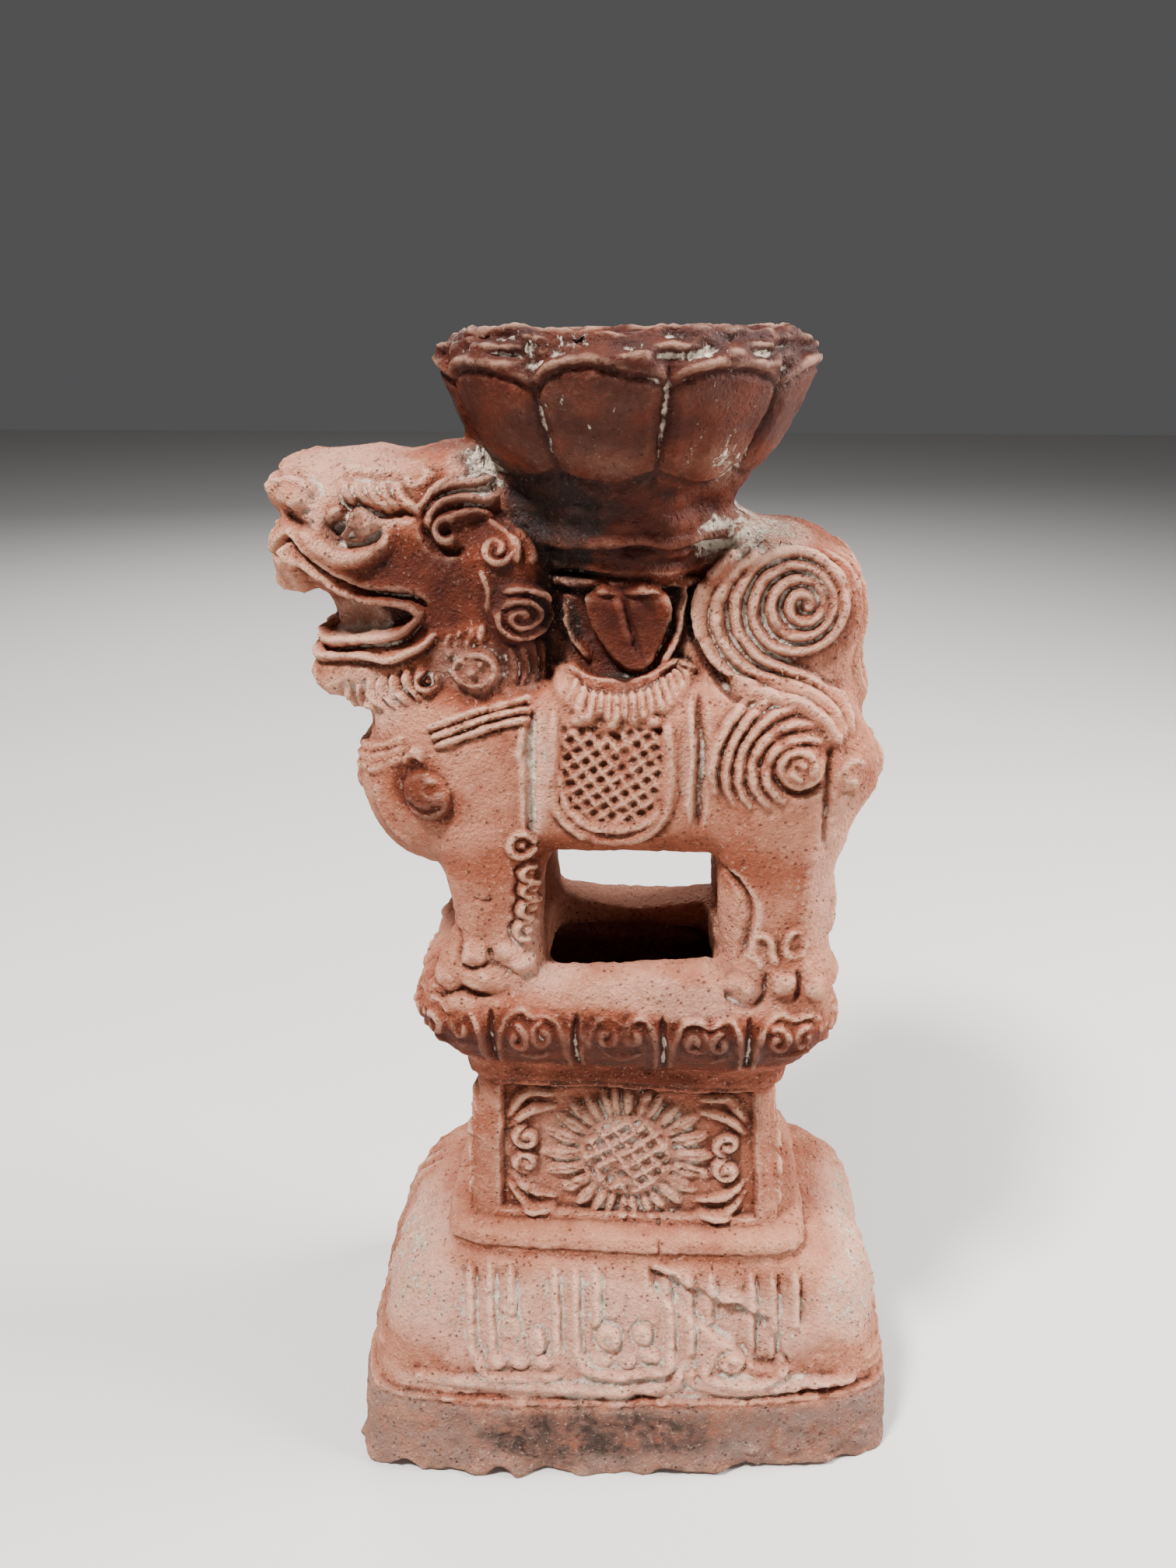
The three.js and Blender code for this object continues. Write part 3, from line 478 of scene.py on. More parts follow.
# The haunch
# Five ripples and a snail curl stand for the hair on the hip, the lion's mark of strength;
# a small knob sits behind it at the root of the tail.
HIP = (34.6, 172)
for radius, start, end in ((6.8, 62, 242), (9.4, 76, 230), (12.1, 88, 219), (14.7, 101, 209),
                           (17.3, 117, 198)):
    strand(flank, arc(HIP, radius, start, end), 1.28, 1.9, taper=.25, crown=1.1)
boss(flank, (33.9, 173), (4.8, 4.8), 1.5, crown=.5)
strand(flank, spiral((33.8, 173.4), 3.7, 2.1, 205), .95, 2.4, taper=.05)
groove(flank, arc((33.9, 173), 5.1, 195, 335), 1.1, 1.3)
boss(flank, (44, 171.8), (3.6, 3.8), 2, crown=.6)
strand(flank, arc((44, 172.4), 1.9, 20, 300), .7, 2.5)
groove(flank, curve((40, 177), (39.4, 173), (39.9, 164), (40.8, 154)), 1.1, 1.2)
swell(flank, (30, 171), (17, 16), 1.2)

# The saddle cloth
# A quilted panel with two raised borders, under a fringed pad on which the stem stands; girths
# run down at either side of it.
GIRTHS = (curve((-18.1, 183), (-18.1, 170), (-18.3, 156)), curve((14.2, 186), (15.2, 175.6), (14.8, 159)))
border = curve((-13.8, 183), (-14, 166), (-12.6, 161.3), (-9.1, 157.5), (-3.6, 156), (1.9, 156.5),
               (6.3, 159), (8.7, 163), (9.5, 167), (9.1, 173.4), (8.3, 181))
inner_border = curve((-12.2, 171), (-12, 167), (-10.6, 162.3), (-7.5, 159.3), (-3.1, 158.5),
                     (1.9, 159), (5.6, 161.1), (7.4, 163.9))
quilt = np.array([(-12.2, 180), (-11.9, 167), (-10.2, 163), (-7, 160.4), (-3, 159.8), (1.6, 160.2),
                  (5, 162), (7, 165), (7.6, 172), (7.2, 179.6)])
for path in GIRTHS:
    groove(flank, path, 1.3, 1.5)
strand(flank, curve((-20.2, 182), (-20.2, 170), (-20, 158)), .9, .6)
strand(flank, curve((12.4, 186), (13.4, 175.6), (13, 160)), .8, .6)
strand(flank, border, 1.25, 1.2, taper=.02)
strand(flank, inner_border, .95, 1, taper=.08)
groove(flank, border + (0, -2.2), .9, .4)


def quilting(view, outline, pitch, slopes, width, rise):
    """Crossing lines at an even pitch, with a pit in each field between them."""
    u, v = view[:2]
    pick, share = patch(view, outline, -.7, .9)
    lines = []
    for slope in slopes:
        turn = math.radians(slope)
        across = v[pick] * math.cos(turn) - u[pick] * math.sin(turn)
        lines.append(np.abs((across / pitch + .5) % 1 - .5) * pitch)
    top = band(np.minimum(*lines), width)
    raised[pick] = np.maximum(raised[pick], rise * top * share)
    middle = np.clip(1 - ((pitch / 2 - lines[0]) ** 2 + (pitch / 2 - lines[1]) ** 2) / .8, 0, 1)
    sunk[pick] = np.minimum(sunk[pick], -.2 * middle * share)


quilting(flank, quilt, 2.55, (-55, 33), .58, .95)

pad_roll = curve((-10.8, 190.2), (-7.5, 187.9), (-3.5, 187.2), (.4, 187.2), (4.2, 188), (7.1, 189.6),
                 (9.7, 192))
fringe = curve((-14.8, 189.6), (-13.4, 186), (-11.2, 184), (-9.8, 182.8), (-8.6, 181.6), (-6.6, 180.6),
               (-4.8, 182.2), (-2.3, 180.2), (-.4, 181.8), (1.6, 180.6), (4, 181.5), (5.8, 182.7),
               (7.3, 182.8), (9.7, 184.5), (12, 186.8), (14, 189.6), steps=2)


def fringed_pad(view, roll, edge, tassels, rise):
    """A flap that hangs from a roll, combed into tassels that spread from it."""
    u, v = view[:2]
    pick, share = patch(view, np.vstack([roll, edge[::-1]]), rise, 1)
    away, along = reach(u[pick], v[pick], roll)
    comb = .5 + .5 * np.cos(2 * np.pi * tassels * along)
    raised[pick] = np.maximum(raised[pick], 1.3 * comb ** 1.4 * share * soft_step(along, .02, .15)
                              * soft_step(away, .6, 2))


fringed_pad(flank, pad_roll, fringe, 17, 1)
strand(flank, pad_roll, 1.3, 1.7, taper=.06)
groove(flank, pad_roll + (.3, -1.6), .8, .9)
for place, size in (((-9, 181.2), 1.9), ((-2.6, 179.8), 1.7), ((5.4, 181.2), 1.7)):
    boss(flank, place, (size, size * .7), 1.4)
    pit(flank, (place[0] + .8, place[1] - 1.7), (size, .9), 1)

# The stem
# A heart-shaped leaf on the short stem between the lion's back and the cup, set in a deep recess
# with thin rims, under two pinched rings.
stem_side = from_side(facing * soft_step(z, 186, 188) * (np.abs(x) < 16))
leaf = curve((-8, 204.3), (-7.2, 199.6), (-5, 195), (-1.4, 190.8), (1.8, 189.2), (4.4, 190.4),
             (7, 195.8), (8.4, 200.5), (7.5, 204.6), (3.4, 206.3), (-1, 205.2), (-4.6, 206))
swell(stem_side, (-.5, 198), (13, 12), -2.2, crown=1)
patch(stem_side, leaf, 3.2, 1.3)
groove(stem_side, curve((-.9, 205.6), (.4, 200), (1.7, 195.4), (2.6, 192.8)), .8, 1.1)
strand(stem_side, curve((-2.2, 204.8), (-.8, 199.5), (.5, 195.2)), 1, .8)
strand(stem_side, curve((11, 206), (10.8, 201.3), (9.2, 195), (6.8, 190.6)), 1, 2.6)
strand(stem_side, curve((-12.4, 202), (-10.8, 196.5), (-7.2, 191.6)), 1, 2.2)

# The head
# A broad block of forehead over a pug nose, bulging eyes under a comb of brow hair, and an open
# mouth whose lips are rolled strips. The nose's front and the slab's are worn round.
face = from_side(facing * (x < -16))
slab_edge = curve((-68.8, 226.2), (-65.7, 226.7), (-62.4, 226.6), (-59.4, 225.4), (-57.5, 222.5))
groove(face, slab_edge, 1, 1.3)
boss(face, (-64, 222.4), (4.6, 3.3), 2.1, turn=-20)
strand(face, curve((-68, 224.6), (-65.2, 225.2), (-62, 224.6), (-59.8, 222.8)), .9, 2.4)
groove(face, curve((-66.6, 220.6), (-64, 219.4), (-60.6, 220.2)), .9, 1.2)
groove(face, curve((-67, 219), (-63.5, 217.6), (-60, 217.8)), 1.5, 1.3)
swell(face, (-67.5, 213.4), (5, 5.6), 1.4)
groove(face, curve((-65.2, 214.6), (-67, 212.6), (-69.4, 210.4)), 1.1, 2.6)
strand(face, curve((-62.6, 216.4), (-60.5, 214.4), (-57, 211.9), (-54.5, 211.2), (-52.1, 211.4),
                   (-49.5, 212), (-47, 213.4), (-45.6, 215.4)), 2.3, 1.7, taper=.2)
upper_lip = curve((-66.4, 213.4), (-64.4, 210.8), (-61.6, 208.4), (-56.6, 204.9), (-51, 202.9),
                  (-45.2, 202.9), (-41.8, 202.4), (-39.2, 200.6))
lower_lip = curve((-39.6, 201), (-40.8, 199.6), (-43, 197.6), (-47.2, 195.8), (-54, 194),
                  (-61, 193.4), (-65, 194))
under_lip = curve((-36.6, 197.4), (-38.6, 195.4), (-41.1, 193.9), (-47.1, 191.3), (-53.9, 190.7),
                  (-60, 190.6), (-64.5, 190))
mouth = curve((-66, 208), (-63.4, 209.6), (-60.6, 207.6), (-56, 204.2), (-51, 202.3), (-45.4, 202.2),
              (-41.6, 200.8), (-43.6, 198.9), (-47.6, 197.1), (-54, 195.4), (-63, 195))
patch(face, mouth, -2.6, 1.6)
strand(face, upper_lip, 1.1, 2.1, taper=.04)
groove(face, upper_lip + (.7, 1.5), .8, 1.7, taper=.05)
strand(face, upper_lip + (1.3, 3), 1.2, .7, taper=.2)
strand(face, lower_lip, 1.1, 1.9, taper=.04)
groove(face, lower_lip + (.2, -1.7), .8, 1.4)
strand(face, under_lip, .95, 1.5, taper=.1)
groove(face, under_lip + (0, -1.5), .9, .7)
swell(face, (-52, 217.4), (7, 5.6), -1.8, crown=1)
boss(face, (-50.6, 217.8), (3.4, 3.2), 3.4, crown=.7)
boss(face, (-54.9, 219.2), (2.6, 2), 3, crown=.7)
boss(face, (-52.2, 214.6), (2.6, 1.2), 2, crown=.7)
pit(face, (-55.2, 217), (1.4, 1.6), 2.6)
strand(face, curve((-54.6, 215.4), (-53.2, 216.4), (-52, 218.2), (-51.6, 220)), .7, 4)
strand(face, curve((-52, 217.6), (-50.4, 217), (-48.6, 217.4)), .6, 3.9)
groove(face, curve((-55, 214.6), (-52, 213.6), (-49, 214.4), (-46.9, 216.2)), 1.2, 1.3)
groove(face, curve((-49.6, 221.2), (-46.9, 219.6), (-43.5, 219.8), (-40.4, 219.6)), 1.5, 1.6)
for start, end in (((-53.4, 224.6), (-51, 221.4)), ((-51.4, 225), (-47, 220.3)),
                   ((-49, 225), (-44.3, 220.1)), ((-46.7, 224.9), (-42.6, 220.8)),
                   ((-44.4, 224.8), (-39.4, 220.3))):
    middle = ((start[0] + end[0]) / 2 - .5, (start[1] + end[1]) / 2 - .5)
    lock = curve(start, middle, end)
    strand(face, lock, 1.05, 2.6, taper=.2, crown=.8)
    groove(face, lock + (-1.2, -.6), .6, 1.1, taper=.2)
strand(face, curve((-53.9, 227.4), (-50, 226.8), (-46.3, 226.4), (-42.5, 227), (-38.5, 228)), 1.1, 1)
groove(face, curve((-55, 226), (-50.5, 225.9), (-46, 225.6), (-41.5, 225.6)), .8, .9)
strand(face, curve((-43, 226), (-40.4, 224.4), (-38, 226.2), (-40, 228)), .9, 1.2)

# The ear lies back: four strands of hair sweep over a small open ring.
swell(face, (-31.5, 219.6), (9, 8), 1)
for hair, width, rise in (
        (((-40, 219.9), (-38.2, 221.6), (-36.6, 223.6), (-33.6, 225.4)), .95, 1.9),
        (((-37.2, 222.6), (-33.5, 224.2), (-30, 224.7), (-25.6, 225.6)), .9, 1.9),
        (((-38, 217), (-37, 219.8), (-35, 221.6), (-31.1, 222.1), (-27.6, 221.7), (-25, 222.4)), .85, 2),
        (((-36.2, 218.2), (-34.4, 218.9), (-31.6, 219.3), (-28.6, 219.4), (-25.6, 218.8)), .8, 1.6)):
    strand(face, curve(*hair), width, rise)
groove(face, curve((-36.2, 222.2), (-33, 223.1), (-29, 223.6)), .7, .9)
strand(face, arc((-34.4, 216.7), 2.1, 40, 320), .8, 1.6, taper=.05)
pit(face, (-34.4, 216.7), (1.2, 1.2), 1.2)
groove(face, curve((-38.8, 218), (-37.4, 214.6), (-34.6, 212.8), (-30.4, 213)), 1.3, 1.5)

# The mane hangs in snail curls and ball curls, and a row of short locks makes the beard.
boss(face, (-20.7, 201.2), (6, 6.2), 1.5, crown=.5)
strand(face, spiral((-20.7, 201), 5.5, 2.15, 120), .95, 3, taper=.03)
boss(face, (-20.7, 201), (1.2, 1.2), 2.6)
boss(face, (-29, 190.2), (4.6, 4.6), 2.2, crown=.5)
strand(face, arc((-29, 190.2), 3.4, 0, 358), .75, 3, taper=.01)
boss(face, (-29.4, 189.8), (1.5, 1.5), 3.3)
boss(face, (-28, 191.9), (1.1, 1), 3)
boss(face, (-30.8, 191.8), (.9, .9), 2.8)
strand(face, arc((-38.9, 187.5), 2.2, 100, 400), .8, 2.3, taper=.05)
boss(face, (-38.9, 187.5), (.9, .9), 1.6)
strand(face, spiral((-24.6, 213.3), 3.1, 1.9, 60), .9, 1.6, taper=.05)
for hair, width, rise in ((((-26.5, 218), (-23.4, 216.4), (-21.1, 214), (-20.9, 210.8)), 1, 1.5),
                          (((-23.6, 218.4), (-20.6, 216.2), (-18.5, 213.7), (-17.9, 210.4)), 1, 1.5),
                          (((-20.6, 219), (-17.6, 216.6), (-15.8, 213.5)), .95, 1.3),
                          (((-27.6, 209.5), (-26.2, 206), (-26.6, 202)), .9, 1.1)):
    strand(face, curve(*hair), width, rise)
for k in range(4):
    hanging = curve((-22.6 + 1.9 * k, 195.2), (-22 + 1.8 * k, 191.6), (-22.2 + 1.9 * k, 187.6))
    strand(face, hanging, .9, 1.3)
    swept = curve((-33.6 + 2 * k, 197.2 + .8 * k), (-34.6 + 2 * k, 194.8),
                  (-33.8 + 2 * k, 192.4 - .6 * k))
    strand(face, swept, .85, .8)
for k in range(6):
    start = np.array((-43.2 - 2.75 * k, 189.6 - 1.1 * k))
    lock = curve(start, start + (.3, -3.2), start + (2.8, -5.8))
    strand(face, lock, 1.05, 2, taper=.2)
    groove(face, lock + (-1.35, 0), .5, .8, taper=.2)
boss(face, (-60.6, 184), (3, 3.4), 1.2)

# The front of the head, below the slab of the forehead: brow curls, a broad nose over an open mouth
# with rolled lips, and the rest of the beard.
front = from_end(soft_step(-normals[:, 0], .3, .65) * (x < -30))
for way in (-1, 1):
    boss(front, (7 * way, 222), (5.4, 3.6), 1.4)
    strand(front, arc((7 * way, 221.8), 4, -10 + 10 * way, 190 + 10 * way), .9, 1.5)
    pit(front, (4.6 * way, 212.2), (2, 1.3), 2, turn=-20 * way)
    strand(front, arc((5.4 * way, 212.6), 3.2, 90 - 130 * way, 90 + 40 * way), .9, 1.1)
    for k in range(4):
        start = (2.2 * way + 2.7 * way * k, 187.5)
        strand(front, curve(start, (start[0] * 1.02, 184), (start[0] * .9, 180.6)), 1.05, 1.5, taper=.2)
boss(front, (0, 214.4), (6.4, 4.2), 1.3)
groove(front, curve((-13, 226.4), (0, 226), (13, 226.4)), 1, 1.2, taper=.03)
for level in (218, 220.4):
    groove(front, curve((-5, level + .6), (0, level), (5, level + .6)), .6, .8)
groove(front, curve((0, 209.6), (0, 207.4), (0, 205)), .7, .9)
patch(front, ((-10.5, 202), (0, 203.2), (10.5, 202), (9.6, 196.6), (0, 195.6), (-9.6, 196.6)), -2.4, 2)
for line, rise in ((((-13, 203.4), (-8, 205.4), (0, 204.2), (8, 205.4), (13, 203.4)), 1.3),
                   (((-12.5, 194.6), (0, 193.2), (12.5, 194.6)), 1.6),
                   (((-12, 191), (0, 189.6), (12, 191)), 1.2)):
    strand(front, curve(*line), 1.1, rise, taper=.05)

# The collar
# Three plaited cords round the chest, with a bell hung at the side and a larger one in front.
for fore, knot, end in (((-53.2, 171), (-38.9, 178.4), (-18.3, 185)),
                         ((-53, 168.9), (-37.9, 176.8), (-18.3, 183.3)),
                         ((-52.7, 167), (-37, 175.1), (-18.5, 181.4))):
    behind = curve(knot, ((knot[0] + end[0]) / 2, (knot[1] + end[1]) / 2 + .9), end)
    strand(flank, behind, .95, 1.2, taper=.05)
    groove(flank, behind + (0, -.95), .5, .7, taper=.05)
    ahead = curve(fore, (fore[0] + 5, fore[1] + 2.7), (-43.8, fore[1] + 5))
    strand(flank, ahead, .9, 1, taper=.1)
boss(flank, (-41, 173.7), (1.8, 1.3), 1.6)
strand(flank, arc((-41.6, 171.2), 1.9, 20, 200), .7, 1.3)
boss(flank, (-39.4, 165), (5, 5.4), 3, crown=.55)
groove(flank, curve((-43, 163.4), (-39.4, 162.4), (-36, 163.8)), .7, .8)
pit(flank, (-36, 167.6), (.8, .8), 1)
strand(flank, curve((-50.6, 166), (-50.2, 160.4), (-47.3, 154.8), (-43.6, 151.6)), 1.1, .8)
for level in (170.8, 168.8, 166.8):
    cord = curve((-17, level + 1.4), (-8, level - 1), (0, level - 1.8), (8, level - 1),
                 (17, level + 1.4))
    strand(front, cord, .9, 1.1, taper=.04)
boss(front, (0, 159.6), (5.2, 5.6), 2.4, crown=.55)
groove(front, curve((-4, 158), (0, 157), (4, 158)), .7, .9)

# The legs
# Flat strips of clay with tool marks: small curls down the back of each leg, and paws of pressed
# ovals for the toes.
strand(flank, arc((-20.6, 155), 2.5, 0, 350), .95, 1.5, taper=.01)
boss(flank, (-20.6, 155), (1.1, 1.1), 1.1)
for place, size in (((-19.6, 148.4), 1.8), ((-19.4, 144.4), 2.1), ((-19.6, 139.8), 2.4),
                    ((-20.2, 134.8), 2.6)):
    strand(flank, arc(place, size * .8, 20, 300), .8, 1.5, taper=.1)
    boss(flank, (place[0] + .3, place[1]), (size * .5, size * .5), 1.2)
    groove(flank, arc(place, size + .7, 120, 260), .6, .8)
groove(flank, curve((-31, 142.4), (-28.6, 142), (-26.4, 142.5)), .7, .6)
for place, size, turn in (((-30.8, 130), (2.9, 3.5), 0), ((-23.9, 130.6), (3, 1.9), -12),
                          ((-28.9, 124.2), (5, 3), -14), ((-37, 123), (3, 4), 30),
                          ((-20.8, 127.6), (4, 2.2), -18), ((-33.6, 118.6), (4.4, 2.4), -8)):
    boss(flank, place, size, 1.7, turn, crown=.8)
for path in (curve((-34.4, 128), (-30.8, 126.9), (-27.4, 128.2), (-24.6, 127), (-22, 125.4)),
             curve((-40.7, 118.9), (-37, 119.9), (-33.6, 121.9), (-31, 120.9), (-27, 120.9)),
             curve((-34.9, 134.6), (-34.3, 131), (-34.2, 127.4)),
             curve((-27.6, 131.2), (-26.8, 128.6))):
    groove(flank, path, .9, .8)
step = curve((20.6, 149.4), (24.2, 146.6), (26.4, 143), (26.8, 139.3), (26.1, 135), (25, 130.4))
groove(flank, step + (-.5, 0), 1.2, 1.3)
strand(flank, step + (1.2, .2), 1.2, .7)
strand(flank, curve((26.8, 134.8), (28.6, 136.2), (30.6, 134.8), (31.1, 131.8), (32.3, 129.4)), .9, 1.2)
strand(flank, arc((35.8, 134), 2.1, 60, 400, flat=1.3), .8, 1.1)
strand(flank, curve((24.8, 131.6), (27.6, 131), (29, 128.6)), 1, 1)
for place, size, turn in (((25.8, 123.8), (4.4, 2.9), -28), ((33.4, 125.4), (3.6, 2.9), 0),
                          ((40.6, 124.6), (2.6, 3.6), 10)):
    boss(flank, place, size, 1.8, turn, crown=.8)
toe = curve((21.2, 124.6), (23.3, 121.8), (26.7, 120.4), (29.2, 121.6), (30, 125), (30.2, 128))
groove(flank, toe, .9, .8)
groove(flank, curve((36.6, 128.4), (37.2, 125), (36.6, 121.6)), .8, .9)
strand(flank, curve((38.4, 156), (37.9, 147.2), (37.2, 139.6), (38.2, 131.8), (39, 125)), 1.3, .5)
for way, across in product((-1, 1), (12, 17.6, 23)):
    boss(front, (across * way, 121.6), (2.8, 3.6), 1.5, crown=.7)

# The rear
# Not seen in the photo and kept plain: the tail's strands hang side by side over the rump, with a
# curl at each hip and a few tool marks on the legs.
rear = from_end(soft_step(normals[:, 0], .3, .65) * (x > 24))
for across in (-12, -8.6, -5.2, -1.7, 1.7, 5.2, 8.6, 12):
    hanging = curve((across, 212.6), (across * 1.04, 200), (across * .9, 188), (across * .55, 177))
    strand(rear, hanging, 1.4, 1.2, taper=.06)
groove(rear, curve((0, 174), (.5, 166), (0, 158)), 1.1, 1)
for way in (-1, 1):
    strand(rear, arc((9.5 * way, 170.5), 4.6, 90 - 150 * way, 90 + 90 * way), 1.2, 1.3)
    for k in range(3):
        start = (way * (11.5 + 4.2 * k), 146)
        mark = curve(start, (start[0] - .6 * way, 140), (start[0] + .8 * way, 134))
        strand(rear, mark, 1.2, 1.1, taper=.25)
    boss(rear, (16 * way, 124), (5.4, 3.6), 1.3)

# The lotus cup's petals
# Nine petals with thin edges. Their tips and the lip above them are chipped away all round in
# flat flakes, so the rim is a ragged, worn edge. The collar under them is pinched into lumps.
girth = np.arctan2(y, x - CUP_X)
from_axis = np.hypot(x - CUP_X, y).clip(1e-6)
away_from_axis = (normals[:, 0] * (x - CUP_X) + normals[:, 1] * y) / from_axis
cup_shown = soft_step(away_from_axis, .1, .35) * soft_step(z, 203, 204) * (
    (z > 223) | (from_axis < 21 + .45 * (z - 206)) & (np.abs(y) > 6))
half_petal = 180 / PETALS["count"]
turn = (np.degrees(girth - PETALS["phase"]) + half_petal) % (2 * half_petal)
turn = (turn - half_petal) / half_petal
RIM_RADIUS, COLLAR_RADIUS = 36, 22
CHIP, LUMP = (6, 1.7), (8, 2.6)
flat_chips = np.stack([girth * RIM_RADIUS / CHIP[0], away_from_axis, z / CHIP[1]], 1)
worn = .5 * unevenness(points, 9, 11) + .5 * unevenness(points, 3, 12) + .8 * unevenness(flat_chips, 1, 18)
top = 247.4 - 3.6 * np.abs(turn) ** 2.2 + .9 * unevenness(points, 7, 13)
above = z - top
ridge = band(above, .9) * soft_step(worn, -.8, .2)
raised = np.maximum(raised, .4 * ridge * cup_shown)
sunk = np.minimum(sunk, -.8 * band(above + 1.6, .8) * cup_shown)
broken = soft_step(above, .3, 1.8) * soft_step(away_from_axis, -.3, .2) * (z > 240)
formed -= broken * np.clip(.9 + 1.7 * worn, -.4, 2.6)
petal_edge = band(np.abs(turn) - .74 + .1 * soft_step(-above, 12, 20), .08)
petal_edge *= soft_step(z, 226, 232) * soft_step(-above, 1.5, 4)
raised = np.maximum(raised, .35 * petal_edge * cup_shown)
petal_gap = band(np.abs(turn) - 1, .07) * soft_step(z, 224, 228) * (above < 0)
sunk = np.minimum(sunk, -.7 * petal_gap * cup_shown)
foot_line = z - 225.4 - 3 * turn ** 2 - .8 * unevenness(points, 5, 19)
sunk = np.minimum(sunk, -.8 * band(foot_line, 1.1) * cup_shown)
collar_lumps = soft_step(z, 208, 211) - soft_step(z, 221, 224)
flat_lumps = np.stack([girth * COLLAR_RADIUS / LUMP[0], away_from_axis, z / LUMP[1]], 1)
formed += collar_lumps * (1.1 * unevenness(points, 7, 14) + 1.1 * unevenness(flat_lumps, 1, 20)
                          + .4 * unevenness(points, 2.2, 15)) * cup_shown
for level, rise, seed in ((215.4, 1.5, 215), (209.6, 1.6, 209), (206.6, 1.1, 206)):
    crumpled = z - level - .9 * unevenness(points, 8, seed)
    raised = np.maximum(raised, rise * band(crumpled, 1.3) * cup_shown)
    sunk = np.minimum(sunk, -.9 * band(crumpled + 1.9, .9) * cup_shown)
rim_notch = np.clip(.5 * unevenness(points, 9, 16) + .5 * unevenness(points, 3, 17) + .1, 0, 1)

# The course under the paws
# Five panels along each side, three at each end, each with a pair of volutes under a double arch;
# much of it was pressed flat when the lion was set down on it.
COURSE_FOOT, COURSE_TOP = 96, 122
PANEL_PITCH = 18.1
side_facing = soft_step(np.abs(normals[:, 1]), .5, .75) * (normals[:, 1] * y > 0)
end_facing = soft_step(np.abs(normals[:, 0]), .72, .88) * (normals[:, 0] * x > 0)
course_side = from_side(side_facing * (z < COURSE_TOP) * np.where(y < 0, 1, .8))
course_end = from_end(end_facing * (z < COURSE_TOP) * (z > COURSE_FOOT) * .8)
rng = np.random.default_rng(20)
for view, count in ((course_side, 5), (course_end, 3)):
    for k in range(count):
        middle = (k - (count - 1) / 2) * PANEL_PITCH + rng.uniform(-.5, .5)
        sag = rng.uniform(-.7, .7)
        swell(view, (middle, 112), (8.4, 7.4), rng.uniform(.5, 1.2), crown=1)
        double_arch = curve(*((middle + a, b) for a, b in (
            (-7, 105.6), (-7, 112), (-5.3, 116.8), (-2.2, 118.4 + sag), (.5, 117 + sag), (3, 118),
            (5.6, 116.6 - sag), (6.9, 112), (6.9, 105.6))))
        strand(view, double_arch, .95, rng.uniform(.9, 1.5), taper=.08)
        for way in (-1, 1):
            volute = (middle + 2.9 * way + rng.uniform(-.5, .5), 113.6 + rng.uniform(-.8, .8))
            turns = spiral(volute, rng.uniform(2.2, 3), 2, 90 + rng.uniform(-60, 60), way=way)
            strand(view, turns, 1, rng.uniform(.9, 1.5), taper=.06, crown=.7)
        strand(view, curve((middle - 4, 109.6), (middle, 108.4 + sag), (middle + 4.2, 109.8)), .9, .8)
    for k in range(count - 1):
        middle = (k + 1 - count / 2) * PANEL_PITCH
        lean = rng.uniform(-.5, .5)
        groove(view, curve((middle, 118.5), (middle + lean, 111), (middle + .4, 102.6)), .9, 1.2)
        for side in (middle - 1.5, middle + 1.5):
            strand(view, curve((side, 114), (side + lean, 108), (side, 102.8)), .7, .8)
swell(course_side, (-18.5, 112), (7, 5), .9)

# The dado
# A sunflower with a quilted heart fills the panel, leaves and curls fill its corners, and a raised
# frame stands round it. The ends and the far side have the same mould, pressed less deep.
PANEL_MIDDLE = (1.5, 76.2)
DADO_FOOT, DADO_TOP = 57, 97
on_dado = (z > DADO_FOOT) & (z < DADO_TOP)
dado_side = from_side(side_facing * on_dado * np.where(y < 0, 1, .75))
dado_end = from_end(end_facing * on_dado * .8)
patch(dado_side, ((-27.6, 60.4), (-26.6, 94), (29.8, 94.2), (32, 61)), -1.6, 1)
patch(dado_end, ((-17.6, 60.4), (-16.6, 94), (16.6, 94), (17.6, 61)), -1.3, 1)
rng = np.random.default_rng(21)
for view, middle, scale in ((dado_side, PANEL_MIDDLE, 1), (dado_end, (0, PANEL_MIDDLE[1]), .72)):
    def at(a, b):
        return (middle[0] + a * scale, middle[1] + b)
    degrees = 0
    while degrees < 352:
        turn_out = math.radians(degrees + rng.uniform(-2, 2))
        to_side = math.cos(turn_out) ** 2
        apart = 11 + 6.5 * to_side
        length = 17 + 2.6 * to_side + rng.uniform(-.6, .6)
        line = curve(*(at(r * math.cos(turn_out), r * math.sin(turn_out))
                       for r in (10.4, 13, 15.5, length)))
        wide = .0062 * apart * length * scale ** .5
        strand(view, line, wide, 2, taper=.4, crown=.8)
        groove(view, line, .4 + .2 * to_side, .3 + .5 * to_side, taper=.3)
        degrees += apart
    boss(view, at(0, 0), (11 * scale, 10.8), 2.4, crown=.35)
    heart = [at(10 * math.cos(a), 9.8 * math.sin(a)) for a in np.radians(range(0, 360, 24))]
    quilting(view, heart, 3.35, (-58, 34), .8, 3.4)
    for across, up in product((-1, 1), repeat=2):
        for line in (((27, 6.2), (22.4, 10.4), (16, 12.2)), ((27.4, 8.6), (22.6, 15.2), (16.4, 15))):
            leaf = curve(*(at(across * a, up * b) for a, b in line))
            strand(view, leaf, 1.5 * scale ** .5, 1.9, taper=.4)
        eye = at(across * 23, up * 3.4)
        turned = spiral(eye, 3 * scale ** .5, 1.9, 180 + 90 * up * across, way=-up * across)
        strand(view, turned, 1.1, 2, taper=.08)
        boss(view, eye, (1, 1), 1.8)
strand(dado_side, curve((-27, 95), (2, 95.2), (30, 95)), .9, .7)

